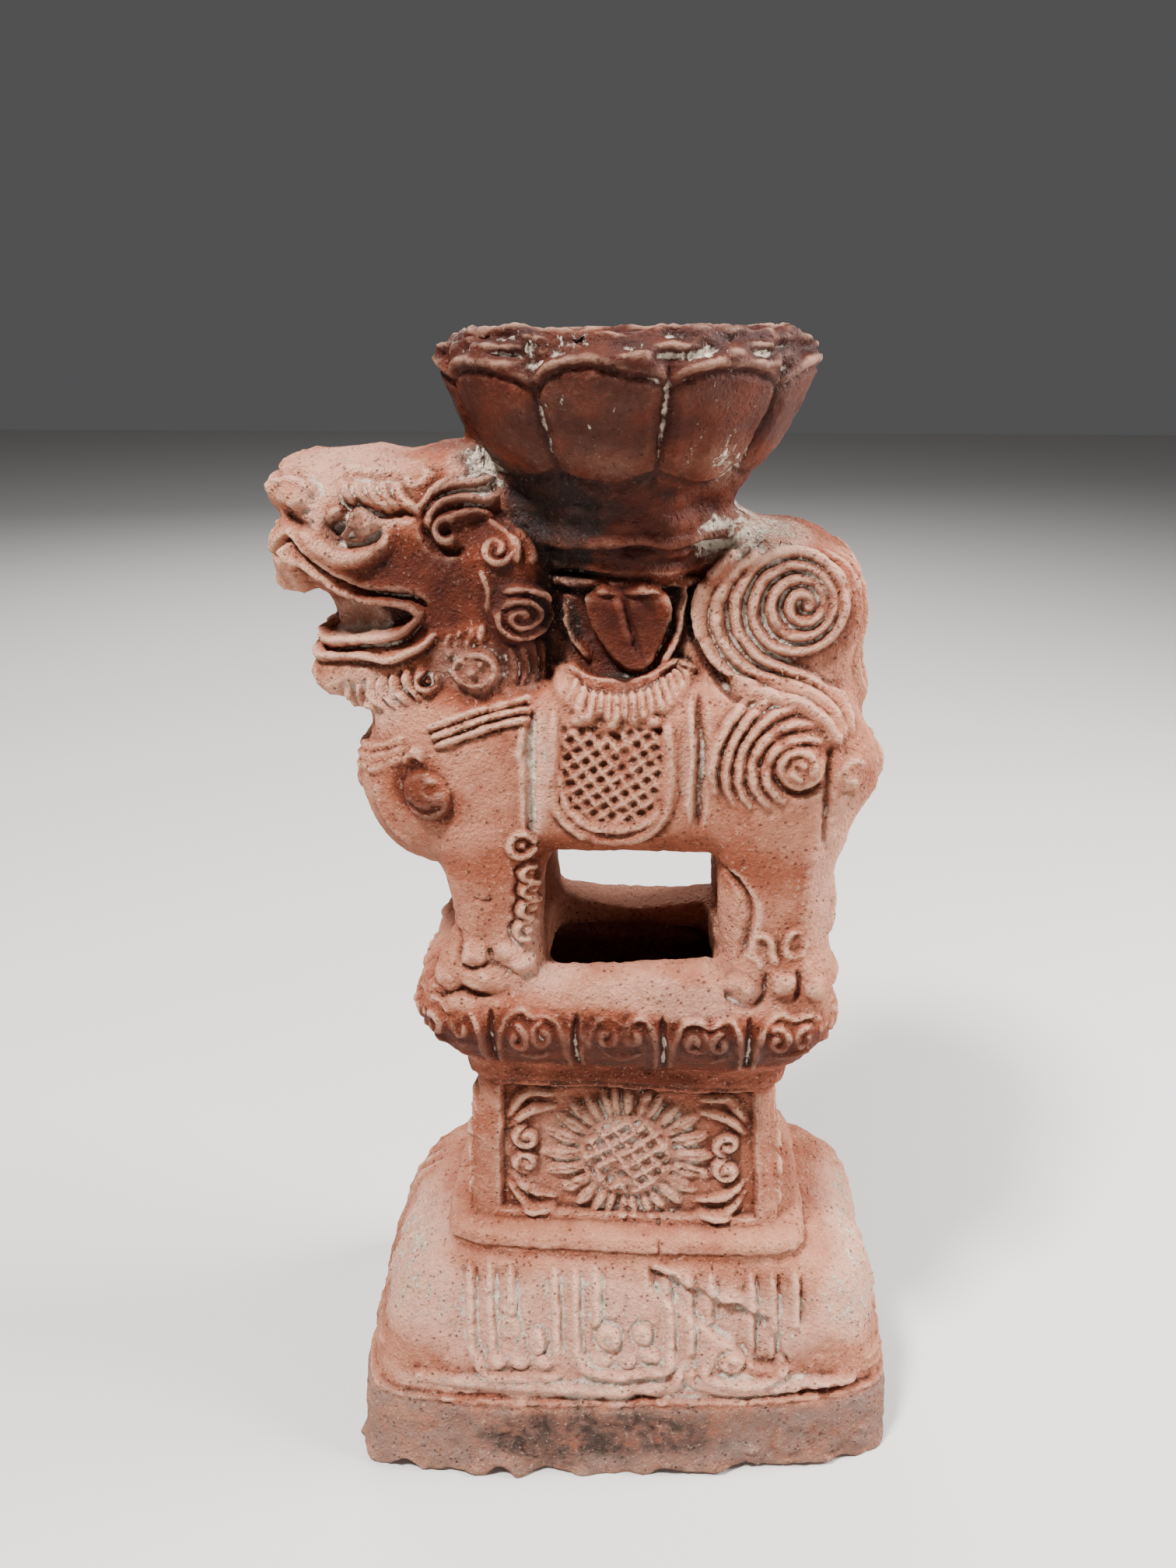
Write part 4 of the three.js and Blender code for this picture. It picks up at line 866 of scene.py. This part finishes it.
# The foot
# Sloping panels divided by groups of ribs, each ending in a rounded sill with a pair of curls, over
# a moulding in two lengths. Part of the near side has flaked off down to the ribs.
FOOT_TOP = 60
slope_side = soft_step(np.abs(normals[:, 1]), .3, .5) * (normals[:, 1] * y > 0) * (z < FOOT_TOP)
slope_end = soft_step(np.abs(normals[:, 0]), .5, .7) * (normals[:, 0] * x > 0) * (z < FOOT_TOP)
foot_side = from_side(slope_side * np.where(y < 0, 1, .65))
foot_end = from_end(slope_end * .8)
for view, groups in ((foot_side, (-29, -9.2, 16.8, 36)), (foot_end, (-12, 12))):
    for middle, k in product(groups, (-1, 0, 1)):
        low = 29 if k < 1 else 38
        top, waist, end = (middle + pitch * k for pitch in (4.9, 4.8, 4.6))
        rib = curve((top - .6, 50.6), (waist, 40), (end + .4, low))
        strand(view, rib, 1.3, 1.3, taper=.15, crown=1)
        groove(view, curve((top + 1.1, 50), (waist + 1.6, 40), (end + 2, low + 2)), .8, .8)
for sill in (((-31.8, 31), (-31, 27.2), (-28, 25.8), (-24, 25.6), (-12.4, 26.2)),
             ((-8.2, 31.8), (-6.7, 28), (1.6, 26.7), (11.2, 28), (12.1, 33)),
             ((20.4, 28.6), (21.6, 25), (29.8, 23.9), (37.8, 25.6), (38.3, 30.5))):
    strand(foot_side, curve(*sill), 1.6, 1.9, taper=.08)
for sill in (((-12, 30), (-10, 26), (0, 25), (10, 26), (12, 30)), ((-31, 26.5), (-22, 25.6), (-15, 27.5)),
             ((31, 26.5), (22, 25.6), (15, 27.5))):
    strand(foot_end, curve(*sill), 1.4, 1.1, taper=.08)
for place, size in (((-24.4, 36.8), (2.4, 2.6)), ((-18, 34.4), (2.2, 3)), ((-1.8, 35.6), (2.8, 3.2)),
                    ((5.9, 36.2), (2.3, 2.6)), ((27, 29), (3, 2.4))):
    boss(foot_side, place, size, 1.6, crown=.5)
    groove(foot_side, arc(place, size[0] + .5, -60, 240, flat=size[1] / size[0]), .7, .8)
    pit(foot_side, (place[0] - .4, place[1] + .2), (.8, 1), .8)
for place in ((-28, 29.2), (-22, 29.4), (-16.4, 29.6), (-3.4, 30.2), (2.4, 30.2), (7.8, 31.4)):
    boss(foot_side, place, (2.6, 2), 1.6, crown=.6)
for path in (((-49, 23.9), (-29.1, 23.8), (-9.9, 23), (8, 22.9), (13.4, 24.2), (14.6, 27.6)),
             ((17.6, 27.6), (18.8, 24), (30.6, 22.6), (44, 22.9), (56, 22.6))):
    strand(foot_side, curve(*path), 1.7, 1.5, taper=.04)
strand(foot_end, curve((-30, 23.6), (0, 23), (28, 23.6)), 1.5, 1.2)
for view in (foot_side, foot_end):
    for line, width, depth in ((((-62, 20.3), (0, 20.6), (62, 20.8)), .7, .8),
                               (((-62, 18.2), (0, 18.6), (62, 18.8)), .5, .5),
                               (((-44, 54.2), (0, 53.8), (44, 54.2)), .5, .5)):
        groove(view, curve(*line), width, depth, taper=.02)
flake = curve((7, 52), (14.3, 49), (22, 45), (30.8, 41.5), (37, 37), (39.6, 29.6), (35, 27.4),
              (27, 33), (20, 38), (13.4, 43), (9, 47))
ragged = (foot_side[0] + 1.1 * unevenness(points, 4, 22), foot_side[1] + 1.1 * unevenness(points, 4, 23),
          foot_side[2] * (y < 0))
patch(ragged, flake, -2.1, 1.4)
strand(ragged, curve((8, 52), (14.3, 49.6), (22, 45.8), (30.8, 42.3), (37, 38)), 1.3, .7)
groove(ragged, curve((8, 51), (14.3, 47.4), (21, 43.8), (30.8, 40.4), (36, 36)), 1.4, .7)
groove(ragged, curve((9.2, 60), (9, 57), (9.6, 54)), .5, .8)
boss(ragged, (32, 6.8), (2.2, 1.3), 1.2)

# Wear, chips and handling
# The marks of the mould are softened and flaked, and the outside is uneven from fingers; the
# inside walls are left smooth. The foot's lower edge was pressed down on the board while wet, so
# it is lumpy and curls out in places.
inner = (np.abs(x - 1.4) < 46) & (np.abs(y) < 25) & (z < 113) & (z > -1)
inner &= normals[:, 0] * x + normals[:, 1] * y < 0
inner |= (from_axis < 33) & (z > 226) & (away_from_axis < .2) & (z < 252)
flaking = soft_step(.7 * unevenness(points, 6, 36) + .5 * unevenness(points, 2.2, 37), .05, .7)
raised = raised * (1 - .45 * flaking)
carved = formed + raised + sunk
carved = relax(carved[:, None], 1)[:, 0] * .35 + carved * .65
rough = np.where(inner, 0, 1) * (1 + 1.1 * soft_step(-z, -58, -20))
handled = .4 * unevenness(points, 16, 31) + rough * (
    .2 * unevenness(points, 6, 32) + .13 * unevenness(points, 2.6, 33) - .16 * flaking)
layers = unevenness(points * (1, 1, .7), 6, 41) + .4 * unevenness(points, 1.8, 42)
crumpled = unevenness(points * (.6, .6, 1.9), 6, 43) * soft_step(z, 209, 213) * soft_step(-z, -230, -225)
handled += .75 * crumpled * soft_step(-from_axis, -34, -29) * (1 - inner)
flaked = soft_step(layers, .1, .2) + soft_step(layers, .42, .5)
handled -= .24 * flaked * soft_step(-z, -60, -46) * (1 - inner)
moved = points + normals * (carved + handled)[:, None]
moved[:, 2] -= 1.5 * rim_notch * soft_step(z, 247, 252.6) * (from_axis < 45)

hem = np.clip(1 - z / 8, 0, 1) ** 1.3
lift = 1.1 * np.clip(unevenness(points, 9, 34) + .2, 0, 1)
for place, height, wide in ((-49.6, 3.2, 4.6), (-26.8, 3, 4.2), (12, 2, 4.4), (28, 1.8, 5), (45, 1.4, 6)):
    lift += height * band(x - place, wide) ** 2 * (y < 0)
moved[:, 2] += lift * hem
pressed = 1.7 * unevenness(points, 8, 35) + .7 * unevenness(points, 3.2, 38)
moved[:, 1] += np.sign(y) * hem * pressed * (np.abs(y) > 20)
moved[:, 0] += np.sign(x) * hem * pressed * (np.abs(x) > 50)
moved[:, 2] = moved[:, 2].clip(0)

out_now = outward(moved)
smooth_near = relax(moved, 4)
smooth_far = relax(smooth_near, 30)
fine_hollow = ((smooth_near - moved) * out_now).sum(1)
broad_hollow = ((smooth_far - moved) * out_now).sum(1)


def cloud(*spots):
    """How far each point lies in a few soft patches: middle, size across and strength."""
    x, y, z = (moved + 5 * np.stack(wobble, 1)).T
    total = np.zeros(len(moved))
    for (mx, my, mz), (sx, sy, sz), strength in spots:
        away = np.sqrt(((x - mx) / sx) ** 2 + ((y - my) / sy) ** 2 + ((z - mz) / sz) ** 2)
        total = np.maximum(total, strength * (1 - soft_step(away, .55, 1.15)))
    return total


# Where the clay is dark: the cup and its stem are steeped in red-brown, the mane and cheek less.
# The same patches paint shade under the cup's overhang, on the cheek, throat and eye socket, under
# the belly, on the course and low on the foot.
darkness = cloud(
    ((-1, 0, 240), (48, 48, 20), 1.05), ((-1, 0, 214), (26, 30, 14), 1.05),
    ((-1, -16, 197), (12, 12, 13), .9), ((-22, -16, 200), (10, 12, 20), .85),
    ((-40, -19, 205), (17, 10, 12), .74), ((-30, -17, 219), (11, 10, 9), .72),
    ((0, -30, 109), (60, 20, 10), .8), ((-41, -24, 165), (8, 8, 7), .62),
    ((-20, -30, 112), (10, 10, 8), .55), ((0, 0, 76), (60, 40, 22), .16), ((0, 0, 98), (60, 40, 6), .5),
    ((-30, -20, 190), (14, 10, 8), .55), ((34, -18, 205), (16, 10, 14), .26),
    ((0, -24, 150), (40, 8, 8), .3), ((0, 0, 10), (90, 60, 13), .42),
    ((-50, -14, 200), (12, 14, 8), .5), ((5, 8, 208), (44, 24, 26), .55),
    ((-53, -17, 217), (6, 8, 5), .75), ((44, -14, 171), (6, 10, 6), .45))
# Painted shade: the inside walls are darkened.
darkness = np.maximum(darkness, .62 * inner)
# The cup and stem are darkened most, for oil stain and painted shade together.
steeped_and_shaded = soft_step(z, 203, 214) * soft_step(28 + .8 * np.clip(z - 225, 0, 40) - from_axis, 0, 4)
darkness = np.maximum(darkness, (.84 + .08 * soft_step(z, 243, 249)) * steeped_and_shaded)
# Where soot and grime hold: round the stem, under the cup, on the nape and low on the foot. Under
# the cup, in thin bands under the ledges and along the flaked step they are painted shade as well.
grime = cloud(
    ((-12, -14, 212), (9, 14, 16), .95), ((-1, -14, 187), (9, 10, 3), .8),
    ((-13, -14, 200), (6, 12, 14), .95), ((11, -14, 198), (4.5, 12, 12), .85),
    ((-13, -18, 222), (15, 16, 9), 1.0), ((6, -20, 226), (12, 12, 5), .62),
    ((-27, -6, 227), (11, 20, 7), .9), ((-50, -14, 216), (6, 8, 5), .5),
    ((0, -44, 11), (44, 14, 10), .8), ((-10, -36, 2), (60, 14, 5), .5),
    ((-55, -17, 217), (3, 8, 3), .6), ((0, 0, 96), (60, 40, 2.6), .7), ((2, 0, 52), (44, 34, 2.2), .55),
    ((0, -20, 250), (38, 24, 5), .62), ((-5, -28, 118), (34, 8, 4), .3),
    ((-22, -16, 208), (6, 10, 10), .6), ((0, 10, 206), (30, 20, 16), .7),
    ((1.8, 0, 228), (22, 22, 10), .95), ((14, -38, 47), (8, 8, 3.4), .7),
    ((22, -38, 42.5), (8, 8, 3.4), .75), ((31, -38, 37.5), (8, 8, 4), .7),
    ((0, -30, 104), (58, 14, 3), .6))
# Where the pale mineral bloom holds: a crust of salts that damp draws out of the clay. The same
# patches paint light on the foot's slopes, the tops of the head and tail, and the right-hand edges
# of the hind leg and cup.
bloom = cloud(
    ((-60, -8, 222), (7, 16, 9), .85), ((-52, -16, 216), (8, 8, 5), .7),
    ((-29, -10, 226), (8, 20, 8), .8), ((23, -8, 215), (14, 22, 7), .95),
    ((20, -24, 228), (8, 14, 9), .75), ((31, -8, 240), (10, 26, 12), .5),
    ((-27, -18, 190), (16, 9, 7), .5), ((-52, -12, 197), (10, 12, 6), .7),
    ((-17, -24, 170), (4, 8, 16), .75), ((14, -24, 172), (4, 8, 14), .45),
    ((-52, -14, 182), (14, 14, 7), .6), ((30, -18, 196), (20, 10, 24), .4),
    ((-18, -20, 128), (14, 12, 12), .6), ((24, -20, 132), (10, 12, 16), .35),
    ((42, -14, 150), (8, 20, 34), .62), ((0, -30, 108), (50, 12, 9), .35),
    ((0, -22, 76), (36, 6, 20), .5), ((0, -34, 38), (66, 18, 16), .7),
    ((-54, -8, 226), (18, 20, 7), .6), ((-48, -20, 42), (20, 30, 14), .8),
    ((54, -10, 42), (14, 40, 14), .85), ((0, -38, 23), (70, 18, 4), .75),
    ((0, -40, 8), (70, 20, 9), .35), ((0, -20, 249), (40, 24, 5), .72),
    ((1, 26, 120), (60, 20, 20), .5), ((4, -30, 236), (44, 16, 12), .5),
    ((10, -28, 122), (26, 10, 5), .5), ((0, 30, 30), (70, 20, 30), .55),
    ((0, -8, 186), (16, 22, 4), .45))

# What the finish reads at each point of the skin; the two hollows are fine and broad.
HOLDS = {"hollow": fine_hollow, "recess": broad_hollow, "darkness": darkness, "grime": grime,
         "bloom": bloom}

# The finish
# Unglazed earthenware, fired salmon to red-brown: matt and sandy, darker where old incense oil
# soaked in and with painted shade on the cup, in the hollows and on shaded sides, with worn pale
# ridges that are also painted highlights, white salts in the hollows and painted light where the
# lamps fall. Its sand is .2 to .5 mm; the grains are drawn at .8 mm and the specks at 1.6 mm, so
# that they show.
clay = bpy.data.materials.new("unglazed_earthenware")
clay.use_nodes = True
tree = clay.node_tree
shader = tree.nodes["Principled BSDF"]


def linear(code):
    """A colour for a node, from its sRGB code."""
    parts = [int(code[k:k + 2], 16) / 255 for k in (1, 3, 5)]
    return (*(c / 12.92 if c < .04045 else ((c + .055) / 1.055) ** 2.4 for c in parts), 1)


def put(tree, kind, inputs=None, out=0, **settings):
    """Adds one node to a tree, with its settings, and its inputs as values or links."""
    made = tree.nodes.new(kind)
    for name, value in settings.items():
        setattr(made, name, value)
    for key, value in (inputs or {}).items():
        if isinstance(value, bpy.types.NodeSocket):
            tree.links.new(value, made.inputs[key])
        else:
            made.inputs[key].default_value = value
    return made.outputs[out]


def per_metre(millimetres):
    """A texture's scale, from the size of its lumps."""
    return 1000 / millimetres


# What the surface holds at each point: the skin's own attributes, clouds and grains of several
# sizes, and the height above the ground. The flecks are drawn out downwards, as water runs.
place = put(tree, "ShaderNodeTexCoord", out="Object")
drawn_down = put(tree, "ShaderNodeVectorMath", {0: place, 1: (1, 1, .45)}, operation="MULTIPLY")
held = {name: put(tree, "ShaderNodeAttribute", out="Fac", attribute_name=name) for name in HOLDS}
for name, where, size, detail, roughness in (
        ("cloudy", place, 22, 3, .5), ("blotchy", place, 6, 5, .6), ("flaky", place, 1.7, 5, .65),
        ("sandy", place, .8, 3, .6), ("flecked", drawn_down, 1.5, 6, .72)):
    held[name] = put(tree, "ShaderNodeTexNoise", {
        "Vector": where, "Scale": per_metre(size), "Detail": detail, "Roughness": roughness})
held["specks"] = put(tree, "ShaderNodeTexVoronoi", {
    "Vector": place, "Scale": per_metre(1.6), "Randomness": 1})
held["height_up"] = put(tree, "ShaderNodeSeparateXYZ", {0: place}, out=2)


def added(**shares):
    """The sum of what the surface holds, each with its share."""
    amount = 0.0
    for name, share in shares.items():
        amount = put(tree, "ShaderNodeMath", {0: held[name], 1: share, 2: amount},
                     operation="MULTIPLY_ADD")
    return amount


def coat(start, full, strength, **shares):
    """How thickly a coat lies: not at all where the shares add up to start, and at its full
    strength where they reach full."""
    return put(tree, "ShaderNodeMapRange", {
        "Value": added(**shares), "From Min": start, "From Max": full, "To Max": strength},
        interpolation_type="SMOOTHSTEP")


# Tone sums the oil stain and painted shade, random clouds, and painted shade in the broad recesses.
held["tone"] = added(darkness=1, cloudy=.55, blotchy=.6, recess=.12)
held["light_clay"] = coat(1, .2, 1, darkness=1)
held["rim"] = coat(.243, .248, 1, height_up=1)
held["low_down"] = coat(.0215, .017, 1, height_up=1)
held["crust"] = coat(1.5, 1.8, .75, bloom=.8, blotchy=.8, flaky=.9, hollow=1.1)
held["flecks"] = coat(.97, 1.07, .7, bloom=.32, flecked=1, blotchy=.35, hollow=.2)
held["raised_specks"] = coat(0, .3, 1, specks=1)

# The coats in their order over the palest clay: colour, how thickly each lies, and what else has
# to be there. Three steps of firing, oil and painted shade, a veil of salts that also paints
# light, worn ridges that are also painted highlights, dirt and painted shade in the grooves, dust,
# soot with painted shade, a crust of salts and its flecks, then dark and pale grit.
colour = linear("#BC7F64")
for code, thickness, where in (
        # Firing, oil stain and painted shade: the clay darkens in three steps with its tone.
        ("#935039", coat(.35, .8, 1, tone=1), 1),
        ("#602814", coat(.75, 1.1, 1, tone=1), 1),
        ("#300D05", coat(1.05, 1.6, 1, tone=1), 1),
        # Salts, and painted light on the slopes and tops that the lamps fall on.
        ("#E0AB93", coat(1, 1.7, .6, bloom=1, cloudy=.5, blotchy=.5, flaky=.7), held["light_clay"]),
        # Wear, and painted highlight: ridges and the rim are lightened.
        ("#E0B298", coat(.2, .5, .5, hollow=-1, flaky=.3), added(light_clay=1, rim=.5)),
        # Dirt, and painted shade: grooves and broad recesses are darkened, less under salts.
        ("#33120A", coat(.08, .5, .8, hollow=1, recess=.12, flaky=.15), coat(.85, .3, 1, bloom=1)),
        ("#7D6A5F", coat(.9, 1.5, .8, low_down=.6, blotchy=.9, flaky=.5), 1),
        # Soot, and painted shade under the cup, under the ledges and along the flaked step.
        ("#1A120F", coat(1.1, 1.75, .88, grime=1, blotchy=.9, flaky=.5, hollow=.6), 1),
        ("#D8C5B2", held["crust"], 1),
        ("#E4D6C0", held["flecks"], 1),
        ("#3F1B10", coat(.3, .12, .6, specks=1), coat(.35, .6, 1, blotchy=1)),
        ("#D8B39B", coat(.58, .72, .45, sandy=1), held["light_clay"])):
    here = put(tree, "ShaderNodeMath", {0: thickness, 1: where}, operation="MULTIPLY")
    colour = put(tree, "ShaderNodeMix", {0: here, 6: colour, 7: linear(code)}, out=2,
                 data_type="RGBA")
tree.links.new(colour, shader.inputs["Base Color"])
tree.links.new(coat(-1, .2, .9, tone=-.3, flaky=.25, crust=.2), shader.inputs["Roughness"])
shader.inputs["Specular IOR Level"].default_value = .15

# The oiled dark clay is smoother to the eye than the pale, so its bumps are lower.
bumps = added(flaky=.6, sandy=.6, crust=.1, flecks=.15, flecked=.5, raised_specks=.3)
bare = put(tree, "ShaderNodeMath", {0: held["light_clay"], 1: .65, 2: .35},
           operation="MULTIPLY_ADD")
height = put(tree, "ShaderNodeMath", {0: bumps, 1: bare}, operation="MULTIPLY")
bump = put(tree, "ShaderNodeBump", {"Height": height, "Strength": 1, "Distance": .0016})
tree.links.new(bump, shader.inputs["Normal"])

# The clay's own grain
# Coarse sand was worked into the clay so that it would fire without cracking; it stands a little
# proud all over the outside. The sizes are in metres, and the lumps are drawn 1.5 mm across,
# coarser than the sand, so that they show.
GRAIN = {"Grain size": .0015, "Grain depth": .0009, "Seed": 7.0}
group = bpy.data.node_groups.new("sanded_clay", "GeometryNodeTree")
group.interface.new_socket("Geometry", in_out="INPUT", socket_type="NodeSocketGeometry")
for name, value in GRAIN.items():
    made = group.interface.new_socket(name, in_out="INPUT", socket_type="NodeSocketFloat")
    made.default_value = value
group.interface.new_socket("Geometry", in_out="OUTPUT", socket_type="NodeSocketGeometry")
given = group.nodes.new("NodeGroupInput").outputs
where = put(group, "GeometryNodeInputPosition")
facing = put(group, "GeometryNodeInputNormal")
open_air = put(group, "GeometryNodeInputNamedAttribute", {"Name": "exposed"}, data_type="FLOAT")
scale = put(group, "ShaderNodeMath", {0: 1.0, 1: given["Grain size"]}, operation="DIVIDE")
noise = put(group, "ShaderNodeTexNoise", {
    "Vector": where, "W": given["Seed"], "Scale": scale, "Detail": 1.5}, noise_dimensions="4D")
centred = put(group, "ShaderNodeMath", {0: noise, 1: .5}, operation="SUBTRACT")
depth_here = put(group, "ShaderNodeMath", {0: given["Grain depth"], 1: open_air},
                 operation="MULTIPLY")
height = put(group, "ShaderNodeMath", {0: centred, 1: depth_here}, operation="MULTIPLY")
offset = put(group, "ShaderNodeVectorMath", {0: facing, "Scale": height}, operation="SCALE")
sanded = put(group, "GeometryNodeSetPosition", {"Geometry": given["Geometry"], "Offset": offset})
whole = put(group, "GeometryNodeRealizeInstances", {"Geometry": sanded})
dressed = put(group, "GeometryNodeSetMaterial", {"Geometry": whole, "Material": clay})
group.links.new(dressed, group.nodes.new("NodeGroupOutput").inputs[0])


def stand(name, data):
    """A new object in the scene."""
    made = bpy.data.objects.new(name, data)
    bpy.context.scene.collection.objects.link(made)
    return made


mesh = bpy.data.meshes.new("lion_incense_burner_skin")
mesh.vertices.add(len(moved))
mesh.vertices.foreach_set("co", ((moved + (SHIFT, 0, 0)) / 1000).astype(np.float32).ravel())
mesh.loops.add(faces.size)
mesh.loops.foreach_set("vertex_index", faces.astype(np.int32).ravel())
mesh.polygons.add(len(faces))
mesh.polygons.foreach_set("loop_start", np.arange(0, faces.size, 4, dtype=np.int32))
mesh.update(calc_edges=True)
for name, values in (*HOLDS.items(), ("exposed", (1.0 - inner) * soft_step(z, 0, 2))):
    mesh.attributes.new(name, "FLOAT", "POINT").data.foreach_set("value", values.astype(np.float32))
burner = stand("lion_incense_burner_skin", mesh)

# A weight keeps the triangles where relief shows, most of all on the near side, and thins the
# plain inside walls first.
TRIANGLES = 198000
WEIGHTS = 8
plain_inside = burner.vertex_groups.new(name="thin_here")
show = np.clip(np.abs(fine_hollow) / .12, 0, 1)
ease = np.where(inner, 1, np.where(y < 0, .75 - .5 * show, .9 - .35 * show))
levels = np.round(ease * WEIGHTS).astype(int)
for level in range(WEIGHTS + 1):
    plain_inside.add(np.flatnonzero(levels == level).tolist(), level / WEIGHTS, "REPLACE")
grain = burner.modifiers.new("grain", "NODES")
grain.node_group = group
for name, value in GRAIN.items():
    grain[group.interface.items_tree[name].identifier] = value
thin = burner.modifiers.new("thin", "DECIMATE")
thin.ratio = TRIANGLES / (2 * len(faces))
thin.vertex_group = "thin_here"
thin.vertex_group_factor = 1.0
thinned = bpy.data.meshes.new_from_object(burner.evaluated_get(bpy.context.evaluated_depsgraph_get()))
burner.modifiers.clear()
burner.vertex_groups.clear()
burner.data = thinned
thinned.polygons.foreach_set("use_smooth", np.ones(len(thinned.polygons), bool))

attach(burner, "root")
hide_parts("lion_incense_burner")

# The floor, lights and camera
# A pale matt floor under soft lights, one of them small and high so that the relief casts
# shadows, and a camera at the photo's place.
floor_mesh = bpy.data.meshes.new("floor")
floor_mesh.from_pydata([(-3, -3, 0), (3, -3, 0), (3, 3, 0), (-3, 3, 0)], [], [(0, 1, 2, 3)])
floor = stand("floor", floor_mesh)
plain = bpy.data.materials.new("pale_floor")
plain.use_nodes = True
paint = plain.node_tree.nodes["Principled BSDF"]
paint.inputs["Base Color"].default_value = linear("#CECBC7")
paint.inputs["Roughness"].default_value = .9
floor_mesh.materials.append(plain)


def soft_light(name, place, aim, size, power):
    """A square lamp that looks at a point, in metres and watts."""
    light = bpy.data.lights.new(name, "AREA")
    light.size = size
    light.energy = power
    holder = stand(name, light)
    holder.location = place
    holder.rotation_euler = (Vector(aim) - Vector(place)).to_track_quat("-Z", "Y").to_euler()


soft_light("key", (-.3, -.36, .95), (0, 0, .14), .14, 26)
soft_light("fill", (.8, -.9, .6), (0, 0, .12), .6, 2)
soft_light("edge", (.62, .02, .55), (0, 0, .14), .3, 15)
soft_light("back", (-.3, .9, .9), (0, 0, .12), .6, 9)
world = bpy.data.worlds.new("studio")
world.use_nodes = True
world.node_tree.nodes["Background"].inputs["Color"].default_value = (.8, .8, .82, 1)
world.node_tree.nodes["Background"].inputs["Strength"].default_value = .11
bpy.context.scene.world = world

# How far the camera looks down and to the side in degrees, its lens in millimetres, its place in
# metres.
PITCH = 21.06
YAW = 3.46
FOCAL = 27.04
EYE = (.0061 + SHIFT / 1000, -.242, .252)
lens = bpy.data.cameras.new("photo_view")
lens.sensor_fit = "VERTICAL"
lens.sensor_height = 36
lens.lens = FOCAL
lens.clip_start = .01
camera = stand("photo_view", lens)
camera.location = EYE
camera.rotation_euler = (math.radians(90 - PITCH), 0, math.radians(YAW))
bpy.context.scene.camera = camera
